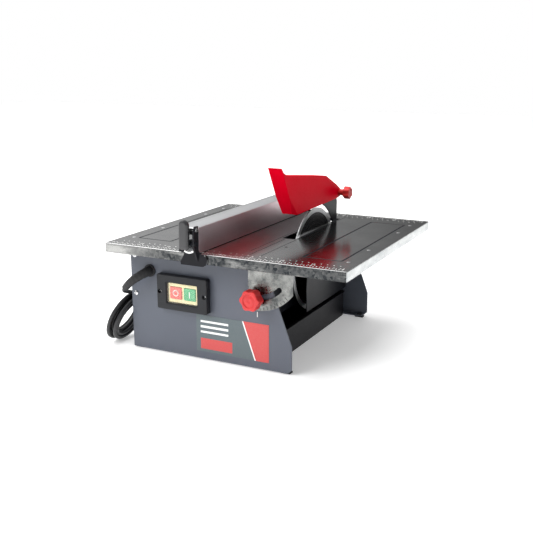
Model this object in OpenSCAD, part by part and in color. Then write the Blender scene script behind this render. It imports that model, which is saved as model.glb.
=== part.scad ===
// Bench-top wet tile cutter: a folded steel body, a tilting table, a sliding fence,
// a swinging blade guard and a direct-drive motor. X runs along the switch panel to the
// right, Y runs from the switch panel to the back, Z is up and the feet stand on z = 0.

/* [Table] */
// Width of the table along X
table_w = 420; // [410:1:440]
// Depth of the table along Y
table_d = 410; // [404:1:412]
// Height of the table's top face above the floor
table_h = 186; // [185:0.5:188]
// Height of the folded edge around the table
table_drop = 16; // [14:0.5:18]
// Thickness of the table's sheet
table_t = 2; // [1.5:0.1:2.2]

/* [Body] */
// Distance from the middle of the machine to the outer face of a body panel
panel_y = 169; // [168:0.5:172]
// Thickness of the body's sheet
panel_t = 2; // [1.5:0.1:2.2]
// Left edge of the body panels
panel_left = -186; // [-190:1:-184]
// Right edge of the body panels at the floor
panel_right = 109; // [104:1:112]
// Height at which the right edge starts to slope inwards
panel_knee = 46; // [40:1:56]
// Top edge of the body panels
panel_top = 176; // [172:0.5:176]
// Height of a rubber foot's pad
foot_h = 2; // [1.5:0.1:2]

/* [Tilt] */
// Height of the table's tilt axis
pivot_z = 174; // [173:0.5:174]
// Radius from the tilt axis to the clamping stud
slot_r = 55; // [54:0.5:57]
// Radius of the quadrant's graduated edge
quadrant_r = 76; // [74:0.5:77]
// Largest tilt of the table in degrees
tilt_max = 45; // [30:5:45]

/* [Blade] */
// Diameter of the cutting disc
blade_d = 180; // [170:1:180]
// Thickness of the disc's steel core
blade_t = 1.6; // [1.2:0.1:1.8]
// Position of the disc's axis along Y
blade_y = 47; // [44:1:48]
// Height of the disc's axis
blade_z = 133; // [132:0.5:134]
// Outer diameter of the motor casing
motor_d = 90; // [84:1:92]

/* [Fence] */
// Right face of the fence at rest
fence_x = -31; // [-60:1:-30]
// Width of the fence rail
fence_w = 34; // [30:1:36]
// Height of the fence rail
fence_h = 40; // [36:1:42]

/* [Guard] */
// Height of the guard's swing axis
guard_z = 240; // [239:0.5:242]
// Position of the guard's swing axis along Y
guard_y = 130; // [128:0.5:132]
// Outer width of the guard
guard_w = 24; // [22:0.5:26]

/* [Tray] */
// Height of the water tray
tray_h = 48; // [44:1:49]
// Wall of the water tray
tray_t = 2; // [1.8:0.1:2.5]

/* [Cord] */
// Diameter of the mains cord
cord_d = 6.5; // [6:0.1:7]
// Mean radius of the wound cord
coil_r = 38; // [36:0.5:39]

/* [Hidden] */

round_fn = 64;
small_fn = 32;
fit = 0.05;          // radial running clearance of a pin or shaft
gap = 0.3;           // clearance between surfaces that move past each other

// Body
wall_in = panel_y - panel_t;
flange_in = wall_in - 12;
panel_base = foot_h;
slope = 0.379;       // how far the right edge leans in for each unit of height
panel_right_top = panel_right - slope * (panel_top - panel_knee);
screw_x = panel_left + 9;
screw_z = [96.4, 161.4];
screw_r = 2;
cover_x = panel_left + panel_t;
shelf_z = 56;
wall_x = 30;
shelf_left = -166;
foot_x = [-176, 97];
foot_y = 160;
gland_x = -148;
gland_z = 138;
gland_r = 8;

// Tilt
tilt_x = 50;
stud_z = pivot_z - slot_r;
quadrant_y = panel_y + 1;
quadrant_left = 35.5;
quadrant_right = 111;
pin_r = 4;
knob_face = 197.5;

// Table
table_under = table_h - table_t;
rim_bottom = table_h - table_drop;
slot_left = 33;
slot_right = 56;
slot_front = -46;
slot_back = 155;
rivet_x = 191;
rivet_y = [-150, -64, 82, 150];
bead_w = 3;
bead_depth = 0.5;
bead_x = [117, 182];
bead_y = 152;

// Blade and motor
blade_r = blade_d / 2;
rim_w = 8;
shaft_r = 7;
core_r = 10;
flange_r = 22;
motor_r = motor_d / 2;
motor_back = -120;
motor_front = 4;

// Switch
bezel_x = [-128, -34];
bezel_z = [80, 138];
window_x = [-109, -52];
window_z = [91.5, 125.5];
bezel_depth = 12;
button_x = [-93.5, -67.5];
button_travel = 3;

// Fence
fence_left = fence_x - fence_w;
fence_base = table_h + 0.8;
fence_end = table_d / 2 + 0.5;
lever_x = [-55.7, -38.8];
lever_pin_y = -table_d / 2 - 10;
lever_pin_z = 203;
lever_bar_y = lever_pin_y - 6;
lever_bar_r = 4.5;
lever_pin_r = 3.5;
lever_low_z = 198.4;
notch_r = 13.6;
notch_x = -47.2;
stop_rod_y = lever_pin_y + 3;
stop_rod_z = 224.5;
stop_rod_r = 3.4;
hook_base = 167;
hook_t = 2.4;
heel_r = 9.5;
heel_x = fence_x + 6;
clamp_face = lever_bar_r - lever_bar_y;

// Guard
guard_x = [tilt_x - guard_w / 2, tilt_x + guard_w / 2];
guard_t = 1.5;
guard_outline = [[-109.7, 310.6], [-102, 303], [-91.4, 297.6], [68.5, 277.3], [84.8, 270],
    [116, 256.3], [138.5, 244.2], [140.6, 232.9], [119.8, 230.2], [-52.1, 228.1], [-64.2, 231.2]];
guard_inside = [[-102.9, 301.8], [-91.2, 295.8], [68, 275.8], [84.2, 268.6],
    [110, 257.2], [110, 280], [160, 280], [160, 200], [-52, 200], [-63.1, 232.4]];

// Tray
tray_base = 1;
tray_x = [-49, 67];
tray_y = flange_in - 1;

// The plane of a nose facet, drawn a little past the guard's edges
nose_facet = [[guard_x[1] + 0.9, -94, 277.5], [guard_x[1] - 9.5, -65.6, 211], [guard_x[1] + 1.3, -28, 211]];

// Cord
cord_r = cord_d / 2;
coil_lean = 25;
strands = 7;
bundle_r = cord_r / sin(180 / strands);
coil_tube = bundle_r + cord_r;
coil_up = [sin(coil_lean), 0, cos(coil_lean)];
coil_c = [panel_left - 0.5 - coil_r * sin(coil_lean) - coil_tube, -148,
    coil_r * cos(coil_lean) + coil_tube + 0.1];
relief_route = [[-148, -172, 138], [-148, -175, 138], [-150.5, -181.5, 136], [-155.5, -187.5, 132.5],
    [-162, -191.5, 128], [-169.5, -193, 122], [-177, -192, 115.5], [-184, -190, 109]];
relief_r = [8, 7.6, 7.1, 6.6, 6.1, 5.6, 5.1, 4.7];
lead_route = [[-184, -190, 109], [-188.5, -188, 104.8], [-192, -183.5, 101.5], [-194, -177.5, 98.8],
    [-195, -171, 96.5], [-195.5, -164, 94.2], [-195.8, -157, 91.9], [-195.8, -150, 89.6],
    [-195.6, -143, 87.2], [-195.3, -137, 85]];
tail_route = [[-208.6, -104.4, 43.2], [-211, -104, 38], [-213.5, -103, 32.5], [-216, -100.5, 26.5],
    [-218, -96.5, 21], [-219.5, -91, 15.5], [-220.5, -84, 10.5], [-221, -76, 6.6],
    [-221, -67, 4.3], [-220.5, -57, 3.4], [-219, -45, 3.4], [-217, -30, 3.4], [-215, -14, 3.4],
    [-213.5, 2, 3.4], [-213, 18, 3.6], [-213, 34, 5], [-213, 50, 8], [-213.5, 64, 12.2],
    [-214, 76, 15.8], [-214, 86, 17.9], [-214, 96, 18.5]];
plug_x = -214;
plug_y = 96;
plug_z = 18.5;

// Basic shapes ------------------------------------------------------------------------

// A box given by its lowest and highest corners
module block(low, high) translate(low) cube(high - low);

// A rod along X
module rod_x(r, x, y, z, sides = round_fn)
    translate([x[0], y, z]) rotate([0, 90, 0]) cylinder(r = r, h = x[1] - x[0], $fn = sides);

// A rod along Y
module rod_y(r, x, y, z, sides = round_fn)
    translate([x, y[1], z]) rotate([90, 0, 0]) cylinder(r = r, h = y[1] - y[0], $fn = sides);

// A rod along Z
module rod_z(r, x, y, z, sides = round_fn)
    translate([x, y, z[0]]) cylinder(r = r, h = z[1] - z[0], $fn = sides);

// A ring whose axis is X
module ring_x(outer, inner, x, y, z)
    difference() {
        rod_x(outer, x, y, z);
        rod_x(inner, [x[0] - 1, x[1] + 1], y, z);
    }

// A flat outline in X and Z, given depth along Y
module plate_xz(y) translate([0, y[1], 0]) rotate([90, 0, 0]) linear_extrude(y[1] - y[0]) children();

// A flat outline in Y and Z, given depth along X
module plate_yz(x)
    translate([x[0], 0, 0]) rotate([90, 0, 90]) linear_extrude(x[1] - x[0]) children();

// The same thing on the other side of the machine
module at_back() mirror([0, 1, 0]) children();

// A tube swept along a route, one ring of points at each point of the route
function unit(v) = v / norm(v);
function route_way(p, i) = unit(p[min(i + 1, len(p) - 1)] - p[max(i - 1, 0)]);
function route_side(p, i) =
    i == 0 ? unit(cross(route_way(p, 0), [0, 0, 1]))
    : let (before = route_side(p, i - 1), way = route_way(p, i)) unit(before - (before * way) * way);
function route_ring(p, radii, i, sides) =
    let (u = route_side(p, i), v = cross(route_way(p, i), u))
    [for (k = [0:sides - 1]) p[i] + radii[i] * (cos(360 * k / sides) * u + sin(360 * k / sides) * v)];

module swept_tube(route, radii, sides = 10) {
    rings = len(route);
    points = [for (i = [0:rings - 1]) each route_ring(route, radii, i, sides)];
    walls = [for (i = [0:rings - 2]) for (k = [0:sides - 1])
        let (a = i * sides + k, b = i * sides + (k + 1) % sides) [a, b, b + sides, a + sides]];
    first = [for (k = [sides - 1:-1:0]) k];
    last = [for (k = [0:sides - 1]) (rings - 1) * sides + k];
    polyhedron(points, concat(walls, [first, last]), convexity = 6);
}

// Body --------------------------------------------------------------------------------

module panel_outline() {
    polygon([[panel_left, panel_base], [panel_right - 6, panel_base], [panel_right, panel_base + 6],
        [panel_right, panel_knee], [panel_right_top, panel_top], [panel_left, panel_top]]);
    translate([tilt_x, pivot_z]) circle(r = 8, $fn = small_fn);
}

// A body panel with its folded foot flange and the holes that both panels share
module body_panel() {
    difference() {
        union() {
            plate_xz([-panel_y, -wall_in]) panel_outline();
            block([panel_left, -wall_in, panel_base], [panel_right - 6, -flange_in, panel_base + panel_t]);
        }
        for (z = screw_z) rod_y(screw_r, screw_x, [-panel_y - 1, -wall_in + 1], z, small_fn);
        rod_y(pin_r, tilt_x, [-panel_y - 1, -wall_in + 1], pivot_z, small_fn);
        rod_y(pin_r, tilt_x, [-panel_y - 1, -wall_in + 1], stud_z, small_fn);
        for (x = foot_x) rod_z(3, x, -foot_y, [panel_base - 1, panel_base + panel_t + 1], small_fn);
    }
}

module front_panel() color("#565d68") difference() {
    body_panel();
    rod_y(gland_r, gland_x, [-panel_y - 1, -wall_in + 1], gland_z);
    block([bezel_x[0] + 12, -panel_y - 1, bezel_z[0] + 6], [bezel_x[1] - 12, -wall_in + 1, bezel_z[1] - 6]);
    for (x = [bezel_x[0] + 5, bezel_x[1] - 5])
        rod_y(1.5, x, [-panel_y - 1, -wall_in + 1], 109, small_fn);
}

module rear_panel() color("#565d68") at_back() body_panel();

module side_cover() color("#4f5660") difference() {
    union() {
        block([panel_left, -wall_in, panel_base + panel_t], [cover_x, wall_in, panel_top]);
        for (y = [-wall_in, wall_in - panel_t])
            block([cover_x, y, panel_base + panel_t], [cover_x + 16, y + panel_t, panel_top]);
    }
    for (z = screw_z) rod_y(screw_r, screw_x, [-wall_in - 1, wall_in + 1], z, small_fn);
    for (y = [-60:24:84]) block([panel_left - 1, y, 96], [cover_x + 1, y + 7, 150]);
}

// The wall between the motor and the wet side, with the shelf that keeps spray off the motor
module bulkhead() color("#3d424b") difference() {
    union() {
        block([wall_x, -wall_in, shelf_z], [wall_x + panel_t, wall_in, panel_top]);
        block([shelf_left, -wall_in, shelf_z], [wall_x, wall_in, shelf_z + panel_t]);
    }
    rod_x(12, [wall_x - 1, wall_x + panel_t + 1], blade_y, blade_z);
}

// Push-in feet: a pad on the floor, a neck through the flange and a head that holds it
module rubber_feet() color("#17181a")
    for (x = foot_x) for (y = [-foot_y, foot_y]) {
        block([x - 8, y - 5.5, 0], [x + 8, y + 5.5, foot_h]);
        rod_z(3, x, y, [0, foot_h + panel_t + 0.5], small_fn);
        rod_z(4.5, x, y, [foot_h + panel_t, foot_h + panel_t + 2], small_fn);
    }

// A pan-head screw driven along +Y from the face at y = 0
module pan_screw(head_r, head_h, shank_r, length) {
    intersection() {
        rod_y(head_r, 0, [-head_h, 0], 0, small_fn);
        translate([0, head_r * 1.6 - head_h, 0]) sphere(r = head_r * 1.6, $fn = small_fn);
    }
    rod_y(shank_r, 0, [-0.01, length], 0, small_fn);
}

module panel_screws() color("#c8ccd0")
    for (z = screw_z) {
        translate([screw_x, -panel_y, z]) pan_screw(4.2, 2.4, screw_r, 9);
        at_back() translate([screw_x, -panel_y, z]) pan_screw(4.2, 2.4, screw_r, 9);
    }

// Motor -------------------------------------------------------------------------------

module motor_casing() color("#6d727a") difference() {
    rod_x(motor_r, [motor_back + 22, motor_front], blade_y, blade_z);
    rod_x(motor_r - 2.5, [motor_back + 21, motor_front + 1], blade_y, blade_z);
}

// The two castings that close the motor and carry its bearings
module motor_end_bells() color("#8f9499") {
    difference() {
        rod_x(motor_r, [motor_front, wall_x], blade_y, blade_z);
        rod_x(motor_r - 5, [motor_front - 1, motor_front + 12], blade_y, blade_z);
        rod_x(14, [motor_front - 1, wall_x - 5], blade_y, blade_z);
        rod_x(core_r, [motor_front - 1, wall_x + 1], blade_y, blade_z);
    }
    difference() {
        rod_x(motor_r, [motor_back - 8, motor_back + 22], blade_y, blade_z);
        rod_x(motor_r - 3, [motor_back - 4, motor_back + 17], blade_y, blade_z);
        rod_x(14, [motor_back + 16, motor_back + 23], blade_y, blade_z);
        for (a = [0:45:315])
            translate([0, blade_y, blade_z]) rotate([a, 0, 0])
                block([motor_back - 9, -3, 14], [motor_back - 3, 3, 34]);
    }
}

module motor_cradle() color("#3d424b") difference() {
    for (x = [-88, -22])
        block([x, blade_y - 34, shelf_z + panel_t], [x + 18, blade_y + 34, blade_z - 20]);
    rod_x(motor_r, [-100, 10], blade_y, blade_z);
}

module stator() color("#7a5a3c") {
    ring_x(motor_r - 2.5, 26, [-72, -18], blade_y, blade_z);
    ring_x(motor_r - 8, 28, [-82, -72], blade_y, blade_z);
    ring_x(motor_r - 8, 28, [-18, -8], blade_y, blade_z);
}

module bearings() color("#b9bdc2") {
    ring_x(14, shaft_r + fit, [motor_front + 14, wall_x - 5], blade_y, blade_z);
    ring_x(14, shaft_r + fit, [motor_back + 17, motor_back + 22], blade_y, blade_z);
}

module capacitor() color("#2a2c30") rod_x(18, [-150, -84], -92, shelf_z + panel_t + 18);

module motor_shaft() color("#c9ccd0") rod_x(shaft_r, [motor_back + 4, 62], blade_y, blade_z);

module rotor() color("#a9adb3") ring_x(25.5, shaft_r, [-74, -16], blade_y, blade_z);

module cooling_fan() color("#34373c") {
    ring_x(12, shaft_r, [motor_back + 5, motor_back + 15], blade_y, blade_z);
    for (a = [0:40:320])
        translate([0, blade_y, blade_z]) rotate([a, 0, 0])
            block([motor_back + 6, -1, 11.5], [motor_back + 14, 1, 37]);
}

// Blade -------------------------------------------------------------------------------

module saw_blade() color("#2b2c2e")
    ring_x(blade_r - rim_w, shaft_r, [tilt_x - blade_t / 2, tilt_x + blade_t / 2], blade_y, blade_z);

module blade_rim() color("#aeb1b4")
    ring_x(blade_r, blade_r - rim_w, [tilt_x - 1.1, tilt_x + 1.1], blade_y, blade_z);

module inner_flange() color("#9fa3a8") {
    ring_x(flange_r, shaft_r, [tilt_x - 5, tilt_x - blade_t / 2], blade_y, blade_z);
    ring_x(11, shaft_r, [wall_x + panel_t + 2, tilt_x - 5], blade_y, blade_z);
}

module outer_flange() color("#9fa3a8")
    ring_x(flange_r, shaft_r, [tilt_x + blade_t / 2, tilt_x + 5], blade_y, blade_z);

module arbor_nut() color("#b4b8bc") difference() {
    translate([tilt_x + 5, blade_y, blade_z]) rotate([0, 90, 0]) cylinder(r = 11, h = 6, $fn = 6);
    rod_x(shaft_r, [tilt_x + 4, tilt_x + 12], blade_y, blade_z);
}

// The plate on the right of the blade that keeps spray over the tray
module lower_blade_cover() color("#33363b") difference() {
    union() {
        plate_yz([63.5, 65]) polygon([[-14, 53], [wall_in, 53], [wall_in, 168], [-20, 168]]);
        block([59, wall_in - 1.5, 60], [64, wall_in, 160]);
    }
    rod_x(120, [60, 68], -134.5, 120, 96);
}

// The knife behind the blade. It follows the disc and carries the guard.
module riving_knife() color("#3a3d42") plate_yz([tilt_x - 1, tilt_x + 1]) difference() {
    union() {
        polygon([[100, 102], [163, 102], [163, 174], [148, 180], [148, 222], [135.5, guard_z],
            [124.5, guard_z], [112, 236], [84, 232], [84, 160]]);
        translate([guard_y, guard_z]) circle(r = 5.5, $fn = small_fn);
    }
    translate([blade_y, blade_z]) circle(r = blade_r + 7, $fn = 128);
    translate([guard_y, guard_z]) circle(r = 2.5 + fit, $fn = small_fn);
    for (z = [114, 142]) translate([155, z]) circle(r = 3, $fn = small_fn);
}

module knife_bracket() color("#3d424b") difference() {
    block([wall_x + panel_t, 147, 104], [tilt_x - 1, 163, 152]);
    for (z = [114, 142]) rod_x(3, [wall_x, tilt_x], 155, z, small_fn);
}

module knife_bolts() color("#b4b8bc")
    for (z = [114, 142]) {
        rod_x(3, [wall_x + 4, tilt_x + 1], 155, z, small_fn);
        rod_x(5, [tilt_x + 1, tilt_x + 5], 155, z, small_fn);
    }

// Tilt hardware -----------------------------------------------------------------------

module tilt_stud() {
    rod_y(pin_r, tilt_x, [-188, -wall_in], stud_z, small_fn);
    rod_y(8, tilt_x, [-wall_in, -wall_in + 3], stud_z, small_fn);
}

module tilt_studs() color("#b4b8bc") {
    tilt_stud();
    at_back() tilt_stud();
}

module pivot_pin() {
    rod_y(pin_r, tilt_x, [-quadrant_y - 2.6, -wall_in], pivot_z, small_fn);
    rod_y(6.5, tilt_x, [-quadrant_y - 4.8, -quadrant_y - 2.4], pivot_z, small_fn);
    rod_y(6.5, tilt_x, [-wall_in, -wall_in + 2], pivot_z, small_fn);
}

module pivot_pins() color("#b4b8bc") {
    pivot_pin();
    at_back() pivot_pin();
}

// The graduated quadrant that hangs from the table and slides past the clamping stud
module quadrant() {
    difference() {
        union() {
            plate_xz([-quadrant_y - 2, -quadrant_y]) intersection() {
                translate([tilt_x, pivot_z]) circle(r = quadrant_r, $fn = 128);
                translate([quadrant_left, 60]) square([quadrant_right - quadrant_left, table_under - 60]);
            }
            block([quadrant_left, -quadrant_y - 20, table_under - 2],
                [quadrant_right, -quadrant_y, table_under]);
        }
        rod_y(pin_r + fit, tilt_x, [-quadrant_y - 3, -quadrant_y + 1], pivot_z, small_fn);
        plate_xz([-quadrant_y - 3, -quadrant_y + 1]) quadrant_slot();
    }
}

// The curved slot, round at both ends, a little longer than the travel
module quadrant_slot() translate([tilt_x, pivot_z]) {
    intersection() {
        difference() {
            circle(r = slot_r + pin_r + gap, $fn = 128);
            circle(r = slot_r - pin_r - gap, $fn = 128);
        }
        polygon([[0, 0], [0, -100], [100 * sin(tilt_max), -100], [100 * sin(tilt_max), -100 * cos(tilt_max)]]);
    }
    for (a = [0, tilt_max]) rotate(a) translate([0, -slot_r]) circle(r = pin_r + gap, $fn = small_fn);
}

module tilt_bracket_front() color("#b5b8b6") quadrant();

module tilt_bracket_rear() color("#b5b8b6") at_back() quadrant();

// A lobed clamping knob facing -Y, on the stud
module tilt_knob() difference() {
    union() {
        rod_y(9, tilt_x, [-180, -quadrant_y - 2.4], stud_z, small_fn);
        rod_y(14, tilt_x, [-knob_face, -180], stud_z);
        for (a = [0:60:300])
            translate([tilt_x + 11 * cos(a), 0, stud_z + 11 * sin(a)]) rod_y(6, 0, [-knob_face, -180], 0);
    }
    rod_y(pin_r + fit, tilt_x, [-188.5, -171], stud_z, small_fn);
    rod_y(6, tilt_x, [-knob_face - 1, -knob_face + 1.5], stud_z);
}

module tilt_knob_front() color("#e0403a") tilt_knob();

module tilt_knob_rear() color("#e0403a") at_back() tilt_knob();

// Switch ------------------------------------------------------------------------------

module switch_bezel() color("#2b2e33") difference() {
    block([bezel_x[0], -panel_y - bezel_depth, bezel_z[0]], [bezel_x[1], -panel_y, bezel_z[1]]);
    block([window_x[0], -panel_y - bezel_depth - 1, window_z[0]], [window_x[1], -panel_y + 1, window_z[1]]);
    for (x = [bezel_x[0] + 5, bezel_x[1] - 5]) {
        rod_y(1.5, x, [-panel_y - bezel_depth - 1, -panel_y + 1], 109, small_fn);
        rod_y(3.6, x, [-panel_y - bezel_depth - 1, -panel_y - 6], 109, small_fn);
    }
}

module switch_screws() color("#c8ccd0")
    for (x = [bezel_x[0] + 5, bezel_x[1] - 5])
        translate([x, -panel_y - 6, 109]) pan_screw(3.3, 2.2, 1.5, 10);

// The contact block behind the panel. Its two wells guide the buttons.
module switch_body() color("#1f2124") difference() {
    block([window_x[0] + 2, -panel_y - 4, window_z[0] + 2], [window_x[1] - 2, -panel_y + 34, window_z[1] - 2]);
    for (x = button_x)
        block([x - 11 - gap, -panel_y - 5, 98.5 - gap], [x + 11 + gap, -panel_y + 8, 118.5 + gap]);
}

module push_button(x) {
    block([x - 11, -panel_y - 9, 98.5], [x + 11, -panel_y + 8 - button_travel - gap, 118.5]);
}

module stop_button() color("#d8262c") push_button(button_x[0]);

module start_button() color("#1fa35a") push_button(button_x[1]);

// A clear splash membrane held in the window
module switch_membrane() color([0.95, 0.92, 0.8, 0.4]) difference() {
    block([window_x[0], -panel_y - 11, window_z[0]], [window_x[1], -panel_y - 4, window_z[1]]);
    block([window_x[0] + 2.5, -panel_y - 10.2, window_z[0] + 2.5],
        [window_x[1] - 2.5, -panel_y - 3, window_z[1] - 2.5]);
}

module front_label() color("#7d9494")
    block([-61, -panel_y - 0.4, 14], [70, -panel_y, 76]);

// Table -------------------------------------------------------------------------------

module table_top() color("#3b3d40") difference() {
    block([-table_w / 2, -table_d / 2, rim_bottom], [table_w / 2, table_d / 2, table_h]);
    block([-table_w / 2 + table_t, -table_d / 2 + table_t, rim_bottom - 1],
        [table_w / 2 - table_t, table_d / 2 - table_t, table_under]);
    block([slot_left, slot_front, table_under - 1], [slot_right, slot_back, table_h + 1]);
    for (s = [-1, 1]) for (y = rivet_y)
        rod_z(2, s * rivet_x, y, [table_under - 1, table_h + 1], small_fn);
    rod_z(2.5, 67.4, -103, [table_under - 1, table_h + 1], small_fn);
    rod_z(2.5, 68, 168, [table_under - 1, table_h + 1], small_fn);
    for (s = [-1, 1]) bead(s);
}

// A pressed rectangular bead in the table's top face
module bead(side) {
    low = min(side * bead_x[0], side * bead_x[1]);
    high = max(side * bead_x[0], side * bead_x[1]);
    difference() {
        block([low, -bead_y, table_h - bead_depth], [high, bead_y, table_h + 1]);
        block([low + bead_w, -bead_y + bead_w, table_h - 1], [high - bead_w, bead_y - bead_w, table_h + 2]);
    }
}

// The folded channels under both ends of the table
module table_stiffeners() color("#8d9092") difference() {
    for (s = [-1, 1]) {
        block([s * rivet_x - 8, -180, table_under - panel_t], [s * rivet_x + 8, 180, table_under]);
        block([s * (rivet_x + 7) - 1, -180, table_under - 12], [s * (rivet_x + 7) + 1, 180, table_under]);
    }
    for (s = [-1, 1]) for (y = rivet_y)
        rod_z(2, s * rivet_x, y, [table_under - 3, table_under + 1], small_fn);
}

module table_rivets() color("#c8ccd0")
    for (s = [-1, 1]) for (y = rivet_y) {
        rod_z(2, s * rivet_x, y, [table_under - 3, table_h], small_fn);
        rod_z(3, s * rivet_x, y, [table_h, table_h + 0.5], small_fn);
        rod_z(3, s * rivet_x, y, [table_under - 4, table_under - 2], small_fn);
    }

// Fence -------------------------------------------------------------------------------

module fence_rail() color("#c3c7ca") difference() {
    block([fence_left, -fence_end, fence_base], [fence_x, fence_end, fence_base + fence_h]);
    block([fence_left + 2, -fence_end - 1, fence_base + 2], [fence_x - 2, fence_end + 1, fence_base + fence_h - 2]);
    block([fence_left - 1, -fence_end - 1, fence_base + 14], [fence_left + 3, fence_end + 1, fence_base + 26]);
}

// A folded hook that closes the end of the rail and grips the table's folded edge
module end_hook() {
    edge = table_d / 2;
    plate_xz([-edge - 3.5, -edge - 0.5]) {
        polygon([[fence_left + 9, 184], [fence_left + 2, 171], [fence_left + 3, hook_base], [heel_x, hook_base],
            [heel_x + heel_r, hook_base + heel_r], [fence_x, 190], [fence_x, fence_base + fence_h - 2],
            [fence_left, fence_base + fence_h - 2], [fence_left, fence_base], [fence_left + 9, fence_base]]);
        translate([heel_x, hook_base + heel_r]) circle(r = heel_r);
    }
    block([fence_left + 3, -edge - 0.5, hook_base], [heel_x + 2, -edge + 8, hook_base + hook_t]);
    block([fence_left + 3, -edge + 5, hook_base], [heel_x + 2, -edge + 8, rim_bottom + 9]);
}

// The front hook carries the lever on an ear at its right edge, over a round notch
module fence_bracket() color("#1d1e20") difference() {
    union() {
        end_hook();
        plate_yz([fence_x - 3, fence_x])
            polygon([[-table_d / 2 - 3.5, 174], [-table_d / 2 - 8, 184], [-table_d / 2 - 14, 196],
                [-table_d / 2 - 14, 223], [-table_d / 2 - 9, 229.5], [-table_d / 2 - 1.5, 229.5]]);
    }
    rod_y(notch_r, notch_x, [-table_d / 2 - 5, -table_d / 2 + 1], lever_pin_z);
    rod_x(lever_pin_r, [fence_x - 4, fence_x + 1], lever_pin_y, lever_pin_z, small_fn);
    rod_x(stop_rod_r, [fence_x - 4, fence_x + 1], stop_rod_y, stop_rod_z, small_fn);
}

module fence_rear_hook() color("#1d1e20") at_back() {
    end_hook();
    block([fence_left, -clamp_face, 188], [fence_x, -table_d / 2 - 3.5, fence_base + fence_h - 4]);
}

// The lever's hinge pin and the stop rod above it
module fence_pins() color("#d0d3d6") {
    rod_x(lever_pin_r, [lever_x[0] - 1.5, fence_x + 1.5], lever_pin_y, lever_pin_z, small_fn);
    rod_x(stop_rod_r, [lever_x[0], fence_x + 1.5], stop_rod_y, stop_rod_z, small_fn);
}

// The clamping lever, a rounded bar around its pin
module cam_lever() color("#26272a") difference() {
    union() {
        plate_yz(lever_x) {
            for (z = [235.5, lever_low_z]) translate([lever_bar_y, z]) circle(r = lever_bar_r, $fn = small_fn);
            translate([lever_bar_y - lever_bar_r, lever_low_z]) square([2 * lever_bar_r, 235.5 - lever_low_z]);
        }
        rod_x(6, lever_x, lever_pin_y, lever_pin_z, small_fn);
        block([lever_x[0], lever_bar_y, lever_pin_z - 6], [lever_x[1], lever_pin_y, lever_pin_z + 6]);
    }
    rod_x(lever_pin_r + fit, [lever_x[0] - 1, lever_x[1] + 1], lever_pin_y, lever_pin_z, small_fn);
}

// Guard -------------------------------------------------------------------------------

module blade_guard() color("#c8102e") difference() {
    difference() {
        plate_yz(guard_x) polygon(guard_outline);
        guard_facets(0);
    }
    difference() {
        plate_yz([guard_x[0] + guard_t, guard_x[1] - guard_t]) polygon(guard_inside);
        guard_facets(guard_t);
    }
    rod_x(2.5, [guard_x[0] - 1, guard_x[1] + 1], guard_y, guard_z, small_fn);
}

// The two flat facets that narrow the guard's nose from the middle down to the bottom
module guard_facets(inset) {
    guard_facet(inset);
    translate([2 * tilt_x, 0, 0]) mirror([1, 0, 0]) guard_facet(inset);
}

module guard_facet(inset) {
    face = [for (p = nose_facet) [p[0] - inset, p[1], p[2]]];
    polyhedron(concat(face, [for (p = face) [guard_x[1] + 20, p[1], p[2]]]),
        [[0, 1, 2], [5, 4, 3], [0, 3, 4, 1], [1, 4, 5, 2], [2, 5, 3, 0]]);
}

module guard_bolt() color("#b4b8bc") {
    rod_x(2.5, [guard_x[0] - 1, guard_x[1] + 13], guard_y, guard_z, small_fn);
    rod_x(4.5, [guard_x[0] - 4, guard_x[0]], guard_y, guard_z, small_fn);
}

module guard_bushes() color("#1d1e20") {
    ring_x(4.5, 2.5, [guard_x[0] + guard_t, tilt_x - 1 - gap], guard_y, guard_z);
    ring_x(4.5, 2.5, [tilt_x + 1 + gap, guard_x[1] - guard_t], guard_y, guard_z);
}

module guard_knob() color("#e0403a") difference() {
    union() {
        rod_x(5.5, [guard_x[1] + gap, guard_x[1] + 11], guard_y, guard_z, small_fn);
        rod_x(9, [guard_x[1] + 10, guard_x[1] + 22], guard_y, guard_z);
        for (a = [0:60:300])
            translate([0, guard_y + 7.6 * cos(a), guard_z + 7.6 * sin(a)])
                rod_x(3.7, [guard_x[1] + 10, guard_x[1] + 22], 0, 0, small_fn);
    }
    rod_x(2.5 + fit, [guard_x[1] - 1, guard_x[1] + 13.5], guard_y, guard_z, small_fn);
}

// Tray --------------------------------------------------------------------------------

// An open tray that slides out to the right between the panels' foot flanges
module water_tray() color("#1b1c1e") {
    rim = tray_base + tray_h;
    difference() {
        union() {
            block([tray_x[0], -tray_y, tray_base], [tray_x[1], tray_y, rim]);
            block([tray_x[0] - 2, -tray_y - 2, rim - 2], [tray_x[1] + 3, tray_y + 2, rim]);
        }
        block([tray_x[0] + tray_t, -tray_y + tray_t, tray_base + tray_t],
            [tray_x[1] - tray_t, tray_y - tray_t, rim + 1]);
    }
}

// Cord --------------------------------------------------------------------------------

module cord_gland() color("#141516") {
    rod_y(10.5, gland_x, [-panel_y - 3, -panel_y], gland_z);
    rod_y(gland_r, gland_x, [-panel_y, -wall_in], gland_z);
    rod_y(11, gland_x, [-wall_in, -wall_in + 6], gland_z);
}

module strain_relief() color("#141516") swept_tube(relief_route, relief_r, 16);

module cord_lead() color("#17181a") swept_tube(lead_route, [for (p = lead_route) cord_r]);

module cord_tail() color("#17181a") swept_tube(tail_route, [for (p = tail_route) cord_r]);

module in_coil() translate(coil_c) rotate([0, coil_lean - 90, 0]) children();

module cord_coil() color("#17181a")
    in_coil() rotate_extrude($fn = 96) translate([coil_r, 0]) circle(r = coil_tube, $fn = 24);

// A strap round the bundle
module cord_tie() color("#0f1011")
    in_coil() rotate([0, 0, -45]) translate([0, coil_r, 0]) rotate([0, 90, 0]) difference() {
        translate([0, 0, -4]) cylinder(r = coil_tube + 1.6, h = 8, $fn = 48);
        translate([0, 0, -5]) cylinder(r = coil_tube + 0.3, h = 10, $fn = 48);
    }

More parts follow.
